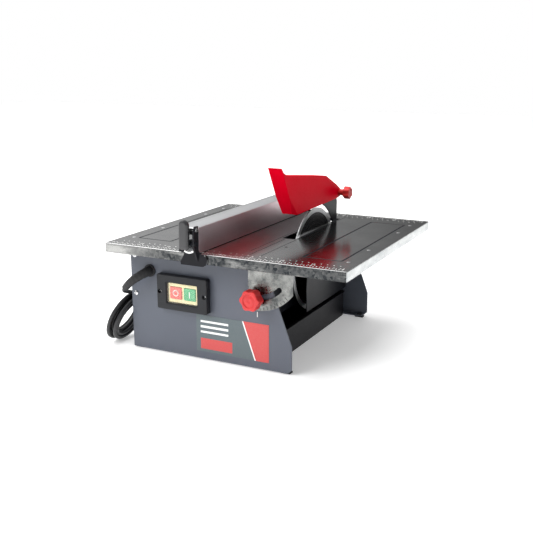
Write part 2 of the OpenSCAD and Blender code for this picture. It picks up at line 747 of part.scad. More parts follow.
// A moulded mains plug with two round pins, lying on the floor
module plug() color("#17181a") {
    translate([plug_x, plug_y, plug_z]) rotate([-90, 0, 0]) {
        rotate_extrude($fn = 64) polygon([[0, 0], [5, 0], [6.5, 16], [11, 22], [17, 34], [18.4, 36],
            [18.4, 44], [17.5, 45], [0, 45]]);
        for (s = [-1, 1]) translate([9.5 * s, 0, 44]) cylinder(r = 2.4, h = 20, $fn = small_fn);
    }
}

front_panel();
rear_panel();
side_cover();
bulkhead();
rubber_feet();
panel_screws();
motor_casing();
motor_end_bells();
motor_cradle();
stator();
bearings();
capacitor();
switch_bezel();
switch_body();
switch_screws();
switch_membrane();
cord_gland();
strain_relief();
riving_knife();
knife_bracket();
knife_bolts();
lower_blade_cover();
tilt_studs();
pivot_pins();
front_label();
table_top();
tilt_bracket_front();
tilt_bracket_rear();
table_stiffeners();
table_rivets();
fence_rail();
fence_bracket();
fence_rear_hook();
fence_pins();
cam_lever();
blade_guard();
guard_bolt();
guard_bushes();
guard_knob();
tilt_knob_front();
tilt_knob_rear();
motor_shaft();
rotor();
cooling_fan();
inner_flange();
outer_flange();
arbor_nut();
saw_blade();
blade_rim();
start_button();
stop_button();
water_tray();
cord_lead();
cord_coil();
cord_tail();
cord_tie();
plug();
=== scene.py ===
"""Bench-top wet tile cutter: the finished model, its studio and its camera.

Lengths in the dataclass fields are millimetres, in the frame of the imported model:
X runs along the switch panel to the right, Y runs to the back and Z is up.
"""

import logging
import math
from collections.abc import Callable, Iterable, Iterator, Sequence
from contextlib import contextmanager
from dataclasses import dataclass
from enum import Enum

import bpy
from mathutils import Matrix, Vector


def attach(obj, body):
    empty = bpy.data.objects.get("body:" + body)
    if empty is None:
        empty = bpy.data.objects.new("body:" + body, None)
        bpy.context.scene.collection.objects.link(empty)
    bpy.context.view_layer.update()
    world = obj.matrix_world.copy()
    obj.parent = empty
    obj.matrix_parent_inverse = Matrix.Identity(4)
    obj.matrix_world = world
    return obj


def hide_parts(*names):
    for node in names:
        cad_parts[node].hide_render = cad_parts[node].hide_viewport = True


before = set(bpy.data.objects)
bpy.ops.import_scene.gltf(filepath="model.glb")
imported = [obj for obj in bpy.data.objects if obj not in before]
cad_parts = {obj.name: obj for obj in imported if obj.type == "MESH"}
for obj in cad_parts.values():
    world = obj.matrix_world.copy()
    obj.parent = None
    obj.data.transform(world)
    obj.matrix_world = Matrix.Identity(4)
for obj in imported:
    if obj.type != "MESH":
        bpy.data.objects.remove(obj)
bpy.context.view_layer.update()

log = logging.getLogger("tile_cutter")

MM = 0.001
MERGE = 0.002 * MM
Colour = tuple[float, float, float]
Point = tuple[float, float, float]
Flat = tuple[float, float]
Box = tuple[float, float, float, float]


class Axis(Enum):
    """The direction a shape is drawn out along."""

    X = 0
    Y = 1
    Z = 2


class Body(Enum):
    """The rigid bodies a piece may ride on."""

    CHASSIS = "chassis"
    TABLE = "table"
    FENCE = "fence"
    LEVER = "fence_lever"
    GUARD = "guard"
    GUARD_KNOB = "guard_knob"
    FRONT_KNOB = "front_knob"
    REAR_KNOB = "rear_knob"
    SPINDLE = "spindle"
    START = "start"
    STOP = "stop"
    TRAY = "tray"


class Slot(Enum):
    """The record's material slots."""

    POWDER_COAT = "powder_coat"
    DARK_COAT = "dark_coat"
    GALVANISED = "galvanised"
    TABLE_STEEL = "table_steel"
    ZINC = "zinc"
    ANODISED = "anodised"
    CAST_ALLOY = "cast_alloy"
    MOTOR_STEEL = "motor_steel"
    COPPER = "copper_windings"
    DISC_STEEL = "disc_steel"
    DIAMOND_RIM = "diamond_rim"
    GUARD_RED = "guard_red"
    KNOB_RED = "knob_red"
    BLACK_PLASTIC = "black_plastic"
    CHARCOAL = "charcoal_plastic"
    RUBBER = "rubber_black"
    CORD = "cord_rubber"
    BUTTON_RED = "button_red"
    BUTTON_GREEN = "button_green"
    MEMBRANE = "clear_membrane"
    LABEL = "label_film"


# Modelling ---------------------------------------------------------------------------


def metres(values: Iterable[float]) -> Vector:
    """Turns millimetres into a vector in metres."""
    return Vector([value * MM for value in values])


def hold(*pieces: bpy.types.Object) -> None:
    """Selects these pieces alone, and makes the first one active."""
    bpy.ops.object.select_all(action="DESELECT")
    for piece in pieces:
        piece.select_set(True)
    bpy.context.view_layer.objects.active = pieces[0]


@contextmanager
def editing(piece: bpy.types.Object) -> Iterator[None]:
    """Opens a piece for editing with everything on it selected, and closes it again."""
    hold(piece)
    bpy.ops.object.mode_set(mode="EDIT")
    bpy.ops.mesh.select_all(action="SELECT")
    yield
    bpy.ops.object.mode_set(mode="OBJECT")


def named(name: str) -> bpy.types.Object:
    """Names the piece that an operator has just added, and applies its place."""
    piece = bpy.context.object
    piece.name = piece.data.name = name
    hold(piece)
    bpy.ops.object.transform_apply(location=True, rotation=True, scale=True)
    return piece


def block(name: str, low: Point, high: Point) -> bpy.types.Object:
    """Makes a box.

    Args:
        name: The piece's name.
        low: Its lowest corner in millimetres.
        high: Its highest corner in millimetres.

    Returns:
        The piece.
    """
    bpy.ops.object.select_all(action="DESELECT")
    first, last = metres(low), metres(high)
    bpy.ops.mesh.primitive_cube_add(size=1, location=(first + last) / 2)
    bpy.context.object.scale = last - first
    return named(name)


def rod(
    name: str, radius: float, middle: Point, length: float, along: Axis, sides: int = 48
) -> bpy.types.Object:
    """Makes a round bar.

    Args:
        name: The piece's name.
        radius: Its radius in millimetres.
        middle: Its middle in millimetres.
        length: Its length in millimetres.
        along: The axis that it lies along.
        sides: How many sides its circle has.

    Returns:
        The piece.
    """
    turn = {Axis.X: (0, math.pi / 2, 0), Axis.Y: (math.pi / 2, 0, 0), Axis.Z: (0, 0, 0)}
    bpy.ops.object.select_all(action="DESELECT")
    bpy.ops.mesh.primitive_cylinder_add(
        vertices=sides,
        radius=radius * MM,
        depth=length * MM,
        location=metres(middle),
        rotation=turn[along],
    )
    return named(name)


def outline(name: str, points: Sequence[Flat]) -> bpy.types.Object:
    """Makes a flat face from a circle whose corners are moved to the given points.

    Args:
        name: The piece's name.
        points: The outline's corners in millimetres.

    Returns:
        The face, lying in X and Y, and facing +Z if the corners run anticlockwise.
    """
    bpy.ops.object.select_all(action="DESELECT")
    bpy.ops.mesh.primitive_circle_add(vertices=len(points), radius=MM, fill_type="NGON")
    piece = named(name)
    order = piece.data.polygons[0].vertices
    for corner, place in zip(order, points):
        piece.data.vertices[corner].co = metres((*place, 0))
    return piece


def prism(name: str, points: Sequence[Flat], along: Axis, low: float, high: float) -> bpy.types.Object:
    """Draws an outline out along an axis.

    Args:
        name: The piece's name.
        points: The outline's corners in millimetres: Y and Z for X, X and Z for Y, X and Y for Z.
        along: The axis it is drawn along.
        low: Where it starts on that axis, in millimetres.
        high: Where it ends on that axis, in millimetres.

    Returns:
        The piece.
    """
    piece = outline(name, points)
    with editing(piece):
        bpy.ops.mesh.extrude_region_move(TRANSFORM_OT_translate={"value": (0, 0, (high - low) * MM)})
    place = {
        Axis.X: Matrix(((0, 0, 1, low * MM), (1, 0, 0, 0), (0, 1, 0, 0), (0, 0, 0, 1))),
        Axis.Y: Matrix(((1, 0, 0, 0), (0, 0, 1, low * MM), (0, 1, 0, 0), (0, 0, 0, 1))),
        Axis.Z: Matrix.Translation((0, 0, low * MM)),
    }
    piece.matrix_world = place[along]
    bpy.ops.object.transform_apply(location=True, rotation=True, scale=True)
    face_out(piece)
    return piece


def face_out(piece: bpy.types.Object) -> None:
    """Merges a piece's doubled corners and turns its faces outwards."""
    with editing(piece):
        bpy.ops.mesh.remove_doubles(threshold=MERGE)
        bpy.ops.mesh.normals_make_consistent(inside=False)


def lathe(name: str, profile: Sequence[Flat], steps: int = 48) -> bpy.types.Object:
    """Turns a profile round the Z axis. It closes along the axis.

    Args:
        name: The piece's name.
        profile: Radius and height of each corner in millimetres.
        steps: How many steps make the full turn.

    Returns:
        The piece, standing on the origin.
    """
    bpy.ops.object.select_all(action="DESELECT")
    bpy.ops.mesh.primitive_circle_add(vertices=len(profile), radius=MM, fill_type="NOTHING")
    piece = named(name)
    for corner, (radius, height) in zip(piece.data.vertices, profile):
        corner.co = metres((radius, 0, height))
    with editing(piece):
        bpy.ops.mesh.spin(steps=steps, angle=2 * math.pi, center=(0, 0, 0), axis=(0, 0, 1))
        bpy.ops.mesh.select_all(action="SELECT")
        bpy.ops.mesh.remove_doubles(threshold=MERGE)
        bpy.ops.mesh.dissolve_degenerate(threshold=MERGE)
        bpy.ops.mesh.normals_make_consistent(inside=False)
    return piece


def node_copy(name: str, node: str) -> bpy.types.Object:
    """Copies a CAD node's mesh, merges its triangles and clears the edges inside its flat faces.

    Args:
        name: The copy's name.
        node: The CAD node.

    Returns:
        The copy, in place.
    """
    piece = bpy.data.objects.new(name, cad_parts[node].data.copy())
    piece.data.name = name
    piece.data.materials.clear()
    bpy.context.scene.collection.objects.link(piece)
    hold(piece)
    bpy.ops.mesh.customdata_custom_splitnormals_clear()
    with editing(piece):
        bpy.ops.mesh.remove_doubles(threshold=2 * MERGE)
        bpy.ops.mesh.dissolve_limited(angle_limit=math.radians(0.6))
    return piece


def apply_modifier(piece: bpy.types.Object, kind: str, **settings: object) -> None:
    """Adds a modifier to a piece and applies it.

    Args:
        piece: The piece.
        kind: The modifier's type.
        **settings: Its settings.
    """
    hold(piece)
    modifier = piece.modifiers.new("step", kind)
    for key, value in settings.items():
        setattr(modifier, key, value)
    bpy.ops.object.modifier_apply(modifier=modifier.name)


def round_edges(
    piece: bpy.types.Object, width: float, segments: int = 3, angle: float = 30
) -> bpy.types.Object:
    """Rounds the edges that are sharper than an angle.

    Args:
        piece: The piece.
        width: The rounding's width in millimetres.
        segments: How many faces make the rounding.
        angle: The angle in degrees.

    Returns:
        The same piece.
    """
    apply_modifier(
        piece,
        "BEVEL",
        width=width * MM,
        segments=segments,
        limit_method="ANGLE",
        angle_limit=math.radians(angle),
    )
    return piece


def shade(piece: bpy.types.Object, angle: float = 40) -> bpy.types.Object:
    """Shades a piece smoothly up to an angle, with its flat faces kept flat."""
    hold(piece)
    bpy.ops.object.shade_smooth_by_angle(angle=math.radians(angle))
    apply_modifier(piece, "WEIGHTED_NORMAL", mode="FACE_AREA", weight=80, keep_sharp=True)
    return piece


def cut(piece: bpy.types.Object, *tools: bpy.types.Object) -> bpy.types.Object:
    """Takes each tool's shape out of a piece, and removes the tools."""
    for tool in tools:
        apply_modifier(piece, "BOOLEAN", operation="DIFFERENCE", solver="EXACT", object=tool)
        bpy.data.objects.remove(tool)
    return piece


def weld(piece: bpy.types.Object, *others: bpy.types.Object) -> bpy.types.Object:
    """Makes one closed solid of several that meet, and removes the others."""
    for other in others:
        apply_modifier(piece, "BOOLEAN", operation="UNION", solver="EXACT", object=other)
        bpy.data.objects.remove(other)
    return piece


def gather(name: str, pieces: Sequence[bpy.types.Object]) -> bpy.types.Object:
    """Joins separate shapes into one piece."""
    hold(*pieces)
    bpy.ops.object.join()
    pieces[0].name = pieces[0].data.name = name
    return pieces[0]


def placed(pattern: bpy.types.Object, name: str, places: Sequence[Matrix]) -> bpy.types.Object:
    """Copies a pattern to each place, removes the pattern and joins the copies.

    Args:
        pattern: The shape at the origin.
        name: The joined piece's name.
        places: Where each copy goes, in metres.

    Returns:
        The joined piece.
    """
    made = []
    for place in places:
        twin = pattern.copy()
        twin.data = pattern.data.copy()
        twin.data.transform(place)
        bpy.context.scene.collection.objects.link(twin)
        made.append(twin)
    bpy.data.objects.remove(pattern)
    return gather(name, made)


def facing(direction: Axis, sign: int, place: Point) -> Matrix:
    """The place of a shape whose +Z is turned to face along an axis.

    Args:
        direction: The axis.
        sign: 1 or -1 along it.
        place: Where its origin goes, in millimetres.

    Returns:
        The matrix in metres.
    """
    turn = {
        Axis.X: Matrix.Rotation(sign * math.pi / 2, 4, "Y"),
        Axis.Y: Matrix.Rotation(-sign * math.pi / 2, 4, "X"),
        Axis.Z: Matrix.Rotation(0 if sign > 0 else math.pi, 4, "X"),
    }
    return Matrix.Translation(metres(place)) @ turn[direction]


def arc(centre: Flat, radius: float, start: float, stop: float, steps: int = 8) -> list[Flat]:
    """Points on an arc, from one angle in degrees to another."""
    angles = [math.radians(start + (stop - start) * i / steps) for i in range(steps + 1)]
    return [(centre[0] + radius * math.cos(a), centre[1] + radius * math.sin(a)) for a in angles]


def rounded_box(low: Flat, high: Flat, radius: float, steps: int = 6) -> list[Flat]:
    """A rectangle's outline with round corners, anticlockwise."""
    (x0, y0), (x1, y1) = low, high
    return [
        *arc((x1 - radius, y0 + radius), radius, -90, 0, steps),
        *arc((x1 - radius, y1 - radius), radius, 0, 90, steps),
        *arc((x0 + radius, y1 - radius), radius, 90, 180, steps),
        *arc((x0 + radius, y0 + radius), radius, 180, 270, steps),
    ]


def numeral(text: str, size: float, depth: float) -> bpy.types.Object:
    """Makes a dial number as a thin raised shape in X and Y, centred on the origin."""
    bpy.ops.object.select_all(action="DESELECT")
    bpy.ops.object.text_add()
    piece = bpy.context.object
    piece.data.body = text
    piece.data.size = size * MM
    piece.data.extrude = depth * MM
    piece.data.resolution_u = 2
    piece.data.align_x = "CENTER"
    piece.data.align_y = "CENTER"
    hold(piece)
    bpy.ops.object.convert(target="MESH")
    return bpy.context.object


def dress_faces(
    piece: bpy.types.Object,
    materials: Sequence[bpy.types.Material],
    choose: Callable[[Vector, Vector], int],
) -> None:
    """Gives each face one of several finishes.

    Args:
        piece: The piece.
        materials: The finishes.
        choose: Takes a face's centre in millimetres and its normal, and returns a finish's number.
    """
    for material in materials:
        piece.data.materials.append(material)
    for face in piece.data.polygons:
        face.material_index = choose(face.center / MM, face.normal)


# Finishes ----------------------------------------------------------------------------


class Graph:
    """Adds and joins the nodes of one tree."""

    def __init__(self, tree: bpy.types.NodeTree) -> None:
        """Keeps the tree."""
        self.tree = tree

    def put(self, socket: bpy.types.NodeSocket, value: object) -> None:
        """Links a socket to another, or sets its value."""
        if isinstance(value, bpy.types.NodeSocket):
            self.tree.links.new(value, socket)
        elif socket.type == "RGBA" and len(value) == 3:
            socket.default_value = (*value, 1)
        else:
            socket.default_value = value

    def add(self, kind: str, inputs: dict | None = None, **settings: object) -> bpy.types.Node:
        """Adds a node.

        Args:
            kind: The node's type.
            inputs: A value or an output socket for each input.
            **settings: The node's properties.

        Returns:
            The node.
        """
        node = self.tree.nodes.new(kind)
        for key, value in settings.items():
            setattr(node, key, value)
        for key, value in (inputs or {}).items():
            self.put(node.inputs[key], value)
        return node

    def math(self, operation: str, *values: object) -> bpy.types.NodeSocket:
        """Adds a Math node and returns its output."""
        return self.add("ShaderNodeMath", dict(enumerate(values)), operation=operation).outputs[0]

    def noise(
        self, place: object, scale: object, detail: float = 2, roughness: float = 0.5
    ) -> bpy.types.NodeSocket:
        """Adds a Noise Texture and returns its value."""
        inputs = {"Vector": place, "Scale": scale, "Detail": detail, "Roughness": roughness}
        return self.add("ShaderNodeTexNoise", inputs).outputs[0]

    def spread(
        self, value: object, low: float, high: float, first: float = 0.0, last: float = 1.0
    ) -> bpy.types.NodeSocket:
        """Maps a value from one range to another, clamped."""
        inputs = {"Value": value, "From Min": low, "From Max": high, "To Min": first, "To Max": last}
        return self.add("ShaderNodeMapRange", inputs).outputs[0]

    def mix(self, factor: object, first: object, second: object) -> bpy.types.NodeSocket:
        """Mixes two colours and returns the result."""
        node = self.add("ShaderNodeMix", data_type="RGBA")
        for index, value in ((0, factor), (6, first), (7, second)):
            self.put(node.inputs[index], value)
        return node.outputs[2]

    def stretch(self, place: object, factors: Point) -> bpy.types.NodeSocket:
        """Scales a pattern's place along each axis."""
        return self.add("ShaderNodeMapping", {"Vector": place, "Scale": factors}).outputs[0]

    def bump(self, height: object, distance: float, strength: float = 1.0) -> bpy.types.NodeSocket:
        """Adds a Bump node for a height in millimetres and returns its normal."""
        inputs = {"Height": height, "Distance": distance * MM, "Strength": strength}
        return self.add("ShaderNodeBump", inputs).outputs[0]

    def use(self, group: bpy.types.NodeTree, inputs: dict) -> bpy.types.Node:
        """Places a node group with its own values."""
        node = self.tree.nodes.new("ShaderNodeGroup")
        node.node_tree = group
        for key, value in inputs.items():
            self.put(node.inputs[key], value)
        return node


SOCKETS = {float: "NodeSocketFloat", tuple: "NodeSocketColor", str: "NodeSocketVector"}


def effect(
    name: str, inputs: dict, outputs: dict, wire: Callable[[Graph, bpy.types.Node], dict]
) -> bpy.types.NodeTree:
    """Builds a shader node group once.

    Args:
        name: The group's name.
        inputs: Each input's name and an example value: a float, a colour tuple, or "" for a vector.
        outputs: Each output's name and an example value.
        wire: Takes the graph and its input node, and returns the socket for each output.

    Returns:
        The group.
    """
    if name in bpy.data.node_groups:
        return bpy.data.node_groups[name]
    tree = bpy.data.node_groups.new(name, "ShaderNodeTree")
    for key, example in inputs.items():
        tree.interface.new_socket(name=key, in_out="INPUT", socket_type=SOCKETS[type(example)])
    for key, example in outputs.items():
        tree.interface.new_socket(name=key, in_out="OUTPUT", socket_type=SOCKETS[type(example)])
    graph = Graph(tree)
    source = graph.add("NodeGroupInput")
    sink = graph.add("NodeGroupOutput")
    for key, socket in wire(graph, source).items():
        graph.put(sink.inputs[key], socket)
    return tree


def mottle() -> bpy.types.NodeTree:
    """Two tones that drift into each other over patches of a given scale."""

    def wire(graph: Graph, source: bpy.types.Node) -> dict:
        """Wires the group."""
        place, scale, light, dark, contrast = [source.outputs[i] for i in range(5)]
        value = graph.noise(place, scale, 4, 0.55)
        centred = graph.math("MULTIPLY_ADD", graph.math("SUBTRACT", value, 0.5), contrast, 0.5)
        mask = graph.add("ShaderNodeClamp", {0: centred}).outputs[0]
        return {"Colour": graph.mix(mask, dark, light), "Mask": mask}

    inputs = {"Place": "", "Scale": 1.0, "Light": (1, 1, 1), "Dark": (0, 0, 0), "Contrast": 1.0}
    return effect("mottle", inputs, {"Colour": (0, 0, 0), "Mask": 0.0}, wire)


def coat_grain() -> bpy.types.NodeTree:
    """The fine relief of a powder coat or a moulded skin: a coarse swell under a fine grain."""

    def wire(graph: Graph, source: bpy.types.Node) -> dict:
        """Wires the group."""
        place, scale = source.outputs[0], source.outputs[1]
        fine = graph.noise(place, scale, 2, 0.5)
        swell = graph.noise(place, graph.math("MULTIPLY", scale, 0.22), 1, 0.5)
        return {"Height": graph.math("MULTIPLY_ADD", swell, 0.8, fine), "Fine": fine}

    return effect("coat_grain", {"Place": "", "Scale": 1.0}, {"Height": 0.0, "Fine": 0.0}, wire)


def scuffs() -> bpy.types.NodeTree:
    """Sparse hairline marks that run two ways."""

    def wire(graph: Graph, source: bpy.types.Node) -> dict:
        """Wires the group."""
        place, scale, amount = source.outputs[0], source.outputs[1], source.outputs[2]
        lines = []
        for angle, stretch in ((0.5, (1, 22, 6)), (2.1, (18, 1, 9))):
            turn = (angle, angle * 0.7, angle)
            turned = graph.add("ShaderNodeMapping", {"Vector": place, "Rotation": turn, "Scale": stretch})
            value = graph.noise(turned.outputs[0], scale, 3, 0.6)
            thin = graph.math("ABSOLUTE", graph.math("SUBTRACT", value, 0.5))
            lines.append(graph.spread(thin, 0.0, 0.012, 1.0, 0.0))
        patch = graph.spread(graph.noise(place, graph.math("MULTIPLY", scale, 0.6), 2), 0.52, 0.66)
        strength = graph.math("MULTIPLY", patch, amount)
        return {"Mask": graph.math("MULTIPLY", graph.math("MAXIMUM", *lines), strength)}

    return effect("scuffs", {"Place": "", "Scale": 1.0, "Amount": 1.0}, {"Mask": 0.0}, wire)


def spangle() -> bpy.types.NodeTree:
    """The crystals of a hot-dip zinc coat: flat patches, each with its own tone."""

    def wire(graph: Graph, source: bpy.types.Node) -> dict:
        """Wires the group."""
        place, scale = source.outputs[0], source.outputs[1]
        noise = {"Vector": place, "Scale": scale, "Detail": 3.0}
        wobble = graph.add("ShaderNodeTexNoise", noise).outputs[1]
        reach = (2.2 * MM,) * 3
        moved = graph.add("ShaderNodeVectorMath", {0: wobble, 1: reach}, operation="MULTIPLY").outputs[0]
        bent = graph.add("ShaderNodeVectorMath", {0: place, 1: moved}, operation="ADD").outputs[0]
        cells = graph.add("ShaderNodeTexVoronoi", {"Vector": bent, "Scale": scale}, feature="F1")
        tone = graph.add("ShaderNodeSeparateColor", {0: cells.outputs["Color"]}).outputs[0]
        return {"Tone": tone}

    return effect("spangle", {"Place": "", "Scale": 1.0}, {"Tone": 0.0}, wire)


class Paint(Graph):
    """The graph of one material, with its Principled shader and its Object coordinates."""

    def __init__(self, name: str) -> None:
        """Starts the material."""
        self.material = bpy.data.materials.new(name)
        self.material.use_nodes = True
        super().__init__(self.material.node_tree)
        self.shader = self.tree.nodes["Principled BSDF"]
        self.place = self.add("ShaderNodeTexCoord").outputs["Object"]

    def lay(self, group: bpy.types.NodeTree, size: float, **values: object) -> bpy.types.NodeOutputs:
        """Places a node group whose pattern is a number of millimetres wide, and returns its outputs."""
        inputs = {"Place": self.place, "Scale": 1 / (size * MM), **values}
        return self.use(group, inputs).outputs

    def cloud(
        self, size: float, detail: float = 2, roughness: float = 0.5, run: Point | None = None
    ) -> bpy.types.NodeSocket:
        """A noise whose patches are a number of millimetres wide.

        Args:
            size: The patches' width in millimetres.
            detail: How many finer layers it has.
            roughness: How strong they are.
            run: How much it is squeezed along each axis.

        Returns:
            The noise's value.
        """
        place = self.stretch(self.place, run) if run else self.place
        return self.noise(place, 1 / (size * MM), detail, roughness)

    def finish(self, sockets: dict) -> bpy.types.Material:
        """Fills the shader's sockets and returns the material."""
        for key, value in sockets.items():
            self.put(self.shader.inputs[key], value)
        return self.material


@dataclass(frozen=True)
class Skin:
    """A powder coat, a moulded plastic or a rubber."""

    name: str
    light: Colour
    dark: Colour
    patch: float = 60
    gloss: Flat = (0.34, 0.46)
    grain: float = 0.9
    depth: float = 0.02
    level: float = 0.5
    wear: float = 0.12
    contrast: float = 1.6
    scuff: float = 45

    def material(self) -> bpy.types.Material:
        """Builds the material."""
        paint = Paint(self.name)
        tones = paint.lay(
            mottle(), self.patch, Light=self.light, Dark=self.dark, Contrast=self.contrast
        )
        relief = paint.lay(coat_grain(), self.grain)
        marks = paint.lay(scuffs(), self.scuff, Amount=self.wear)
        pale = tuple(0.5 * c + 0.12 for c in self.light)
        rough = paint.spread(relief["Fine"], 0.3, 0.7, *self.gloss)
        return paint.finish(
            {
                "Base Color": paint.mix(marks["Mask"], tones["Colour"], pale),
                "Roughness": paint.math("MULTIPLY_ADD", tones["Mask"], 0.05, rough),
                "Normal": paint.bump(relief["Height"], self.depth),
                "Specular IOR Level": self.level,
            }
        )


@dataclass(frozen=True)
class Metal:
    """An uncoated, plated, brushed or cast metal."""

    name: str
    light: Colour
    dark: Colour
    gloss: Flat = (0.2, 0.34)
    brush: Point = (1, 1, 1)
    line: float = 1.2
    depth: float = 0.004
    patch: float = 25
    scuff: float = 30

    def material(self) -> bpy.types.Material:
        """Builds the material."""
        paint = Paint(self.name)
        tones = paint.lay(mottle(), self.patch, Light=self.light, Dark=self.dark, Contrast=1.5)
        lines = paint.cloud(self.line, 3, 0.6, self.brush)
        marks = paint.lay(scuffs(), self.scuff, Amount=0.2)
        rough = paint.spread(lines, 0.3, 0.7, *self.gloss)
        return paint.finish(
            {
                "Base Color": paint.mix(
                    paint.spread(lines, 0.3, 0.7, 0.0, 0.35), tones["Colour"], self.dark
                ),
                "Roughness": paint.math("MULTIPLY_ADD", marks["Mask"], 0.2, rough),
                "Normal": paint.bump(lines, self.depth),
                "Metallic": 1.0,
            }
        )


@dataclass(frozen=True)
class ZincCoat:
    """Galvanised sheet: crystals, cloudy stains and a soft gloss. Its colour is lightened towards low X over
    a given X range, a painted reflection.
    """

    name: str
    light: Colour = (0.3, 0.303, 0.29)
    dark: Colour = (0.04, 0.045, 0.047)
    crystal: float = 4.5
    gloss: Flat = (0.16, 0.4)
    stain: Flat = (0.36, 0.64)
    run: Point = (1, 1, 1)
    blotch: float = 28
    ripple: float = 6
    # X range in millimetres over which the painted reflection fades in towards low X; this default lies
    # beyond the machine.
    pale_from: Flat = (-900, -800)

    def material(self) -> bpy.types.Material:
        """Builds the material."""
        paint = Paint(self.name)
        crystals = paint.lay(spangle(), self.crystal)["Tone"]
        stain = paint.spread(paint.cloud(self.blotch, 4, 0.62, self.run), *self.stain)
        tone = paint.math("MULTIPLY_ADD", crystals, 0.22, paint.math("MULTIPLY", stain, 0.8))
        # Painted reflection: the tone is lightened towards low X across the given range.
        across = paint.add("ShaderNodeSeparateXYZ", {0: paint.place}).outputs[0]
        reflection_band = paint.spread(across, *[edge * MM for edge in self.pale_from], 0.6, 0.0)
        tone = paint.math("MINIMUM", paint.math("ADD", tone, reflection_band), 1.0)
        height = paint.math("MULTIPLY_ADD", crystals, 0.25, paint.cloud(self.ripple, 3, 0.55))
        return paint.finish(
            {
                "Base Color": paint.mix(tone, self.dark, self.light),
                "Roughness": paint.spread(crystals, 0, 1, *self.gloss),
                "Normal": paint.bump(height, 0.035),
                "Metallic": 1.0,
            }
        )


@dataclass(frozen=True)
class TableFace:
    """The table's polished steel face, a dark mirror with faint clouds and hairlines."""

    name: str
    light: Colour = (0.32, 0.325, 0.325)
    dark: Colour = (0.2, 0.205, 0.21)
    patch: float = 70
    crystal: float = 7
    scuff: float = 60
    line: float = 1.1
    ripple: float = 28

    def material(self) -> bpy.types.Material:
        """Builds the material."""
        paint = Paint(self.name)
        tones = paint.lay(mottle(), self.patch, Light=self.light, Dark=self.dark, Contrast=1.8)
        crystals = paint.spread(paint.lay(spangle(), self.crystal)["Tone"], 0, 1, 0.0, 0.22)
        marks = paint.lay(scuffs(), self.scuff, Amount=0.5)
        fine = paint.cloud(self.line, 3, 0.6, (1, 0.06, 1))
        rough = paint.spread(fine, 0.3, 0.7, 0.13, 0.19)
        height = paint.math("MULTIPLY_ADD", fine, 0.01, paint.cloud(self.ripple))
        return paint.finish(
            {
                "Base Color": paint.mix(crystals, tones["Colour"], self.light),
                "Roughness": paint.math("MULTIPLY_ADD", marks["Mask"], 0.12, rough),
                "Normal": paint.bump(height, 0.05),
                "Metallic": 1.0,
            }
        )


@dataclass(frozen=True)
class Turned:
    """Steel ground in circles about an axis along X, with or without abrasive grit."""

    name: str
    light: Colour
    dark: Colour
    gloss: Flat
    centre: Flat = (47, 133)
    pitch: float = 0.9
    grit: float = 0.0
    grain: float = 0.7
    depth: float = 0.01

    def material(self) -> bpy.types.Material:
        """Builds the material."""
        paint = Paint(self.name)
        parts = paint.add("ShaderNodeSeparateXYZ", {0: paint.place}).outputs
        squares = [
            paint.math("POWER", paint.math("SUBTRACT", parts[axis.value], middle * MM), 2.0)
            for axis, middle in zip((Axis.Y, Axis.Z), self.centre)
        ]
        radius = paint.math("SQRT", paint.math("ADD", *squares))
        line = paint.add("ShaderNodeCombineXYZ", {0: radius}).outputs[0]
        rings = paint.noise(line, 1 / (self.pitch * MM), 4, 0.7)
        ground = paint.math("MULTIPLY", rings, 1 - self.grit)
        gritty = paint.math("MULTIPLY", paint.cloud(self.grain, 3, 0.7), self.grit)
        tone = paint.math("ADD", ground, gritty)
        return paint.finish(
            {
                "Base Color": paint.mix(paint.spread(tone, 0.3, 0.7), self.dark, self.light),
                "Roughness": paint.spread(tone, 0.3, 0.7, *self.gloss),
                "Normal": paint.bump(tone, self.depth),
                "Metallic": 1.0,
            }
        )


@dataclass(frozen=True)
class Windings:
    """Varnished copper wire wound along X."""

    name: str
    pitch: float = 3.2
    light: Colour = (0.5, 0.2, 0.08)
    dark: Colour = (0.1, 0.03, 0.01)

    def material(self) -> bpy.types.Material:
        """Builds the material."""
        paint = Paint(self.name)
        pattern = {"Vector": paint.place, "Scale": 1 / (self.pitch * MM), "Distortion": 1.2, "Detail": 2.0}
        wires = paint.add("ShaderNodeTexWave", pattern, bands_direction="DIAGONAL").outputs["Fac"]
        return paint.finish(
            {
                "Base Color": paint.mix(wires, self.dark, self.light),
                "Roughness": paint.spread(wires, 0, 1, 0.45, 0.25),
                "Normal": paint.bump(wires, 0.3),
                "Metallic": 0.6,
            }
        )


@dataclass(frozen=True)
class Clear:
    """The switch's milky splash membrane."""

    name: str
    tint: Colour = (0.95, 0.9, 0.68)
    milk: Colour = (0.98, 0.95, 0.8)
    patch: float = 9

    def material(self) -> bpy.types.Material:
        """Builds the material."""
        paint = Paint(self.name)
        cloud = paint.cloud(self.patch, 3)
        return paint.finish(
            {
                "Base Color": paint.mix(cloud, self.tint, self.milk),
                "Alpha": paint.spread(cloud, 0.2, 0.8, 0.04, 0.07),
                "Normal": paint.bump(cloud, 0.05),
                "Roughness": 0.25,
                "Specular IOR Level": 0.3,
            }
        )


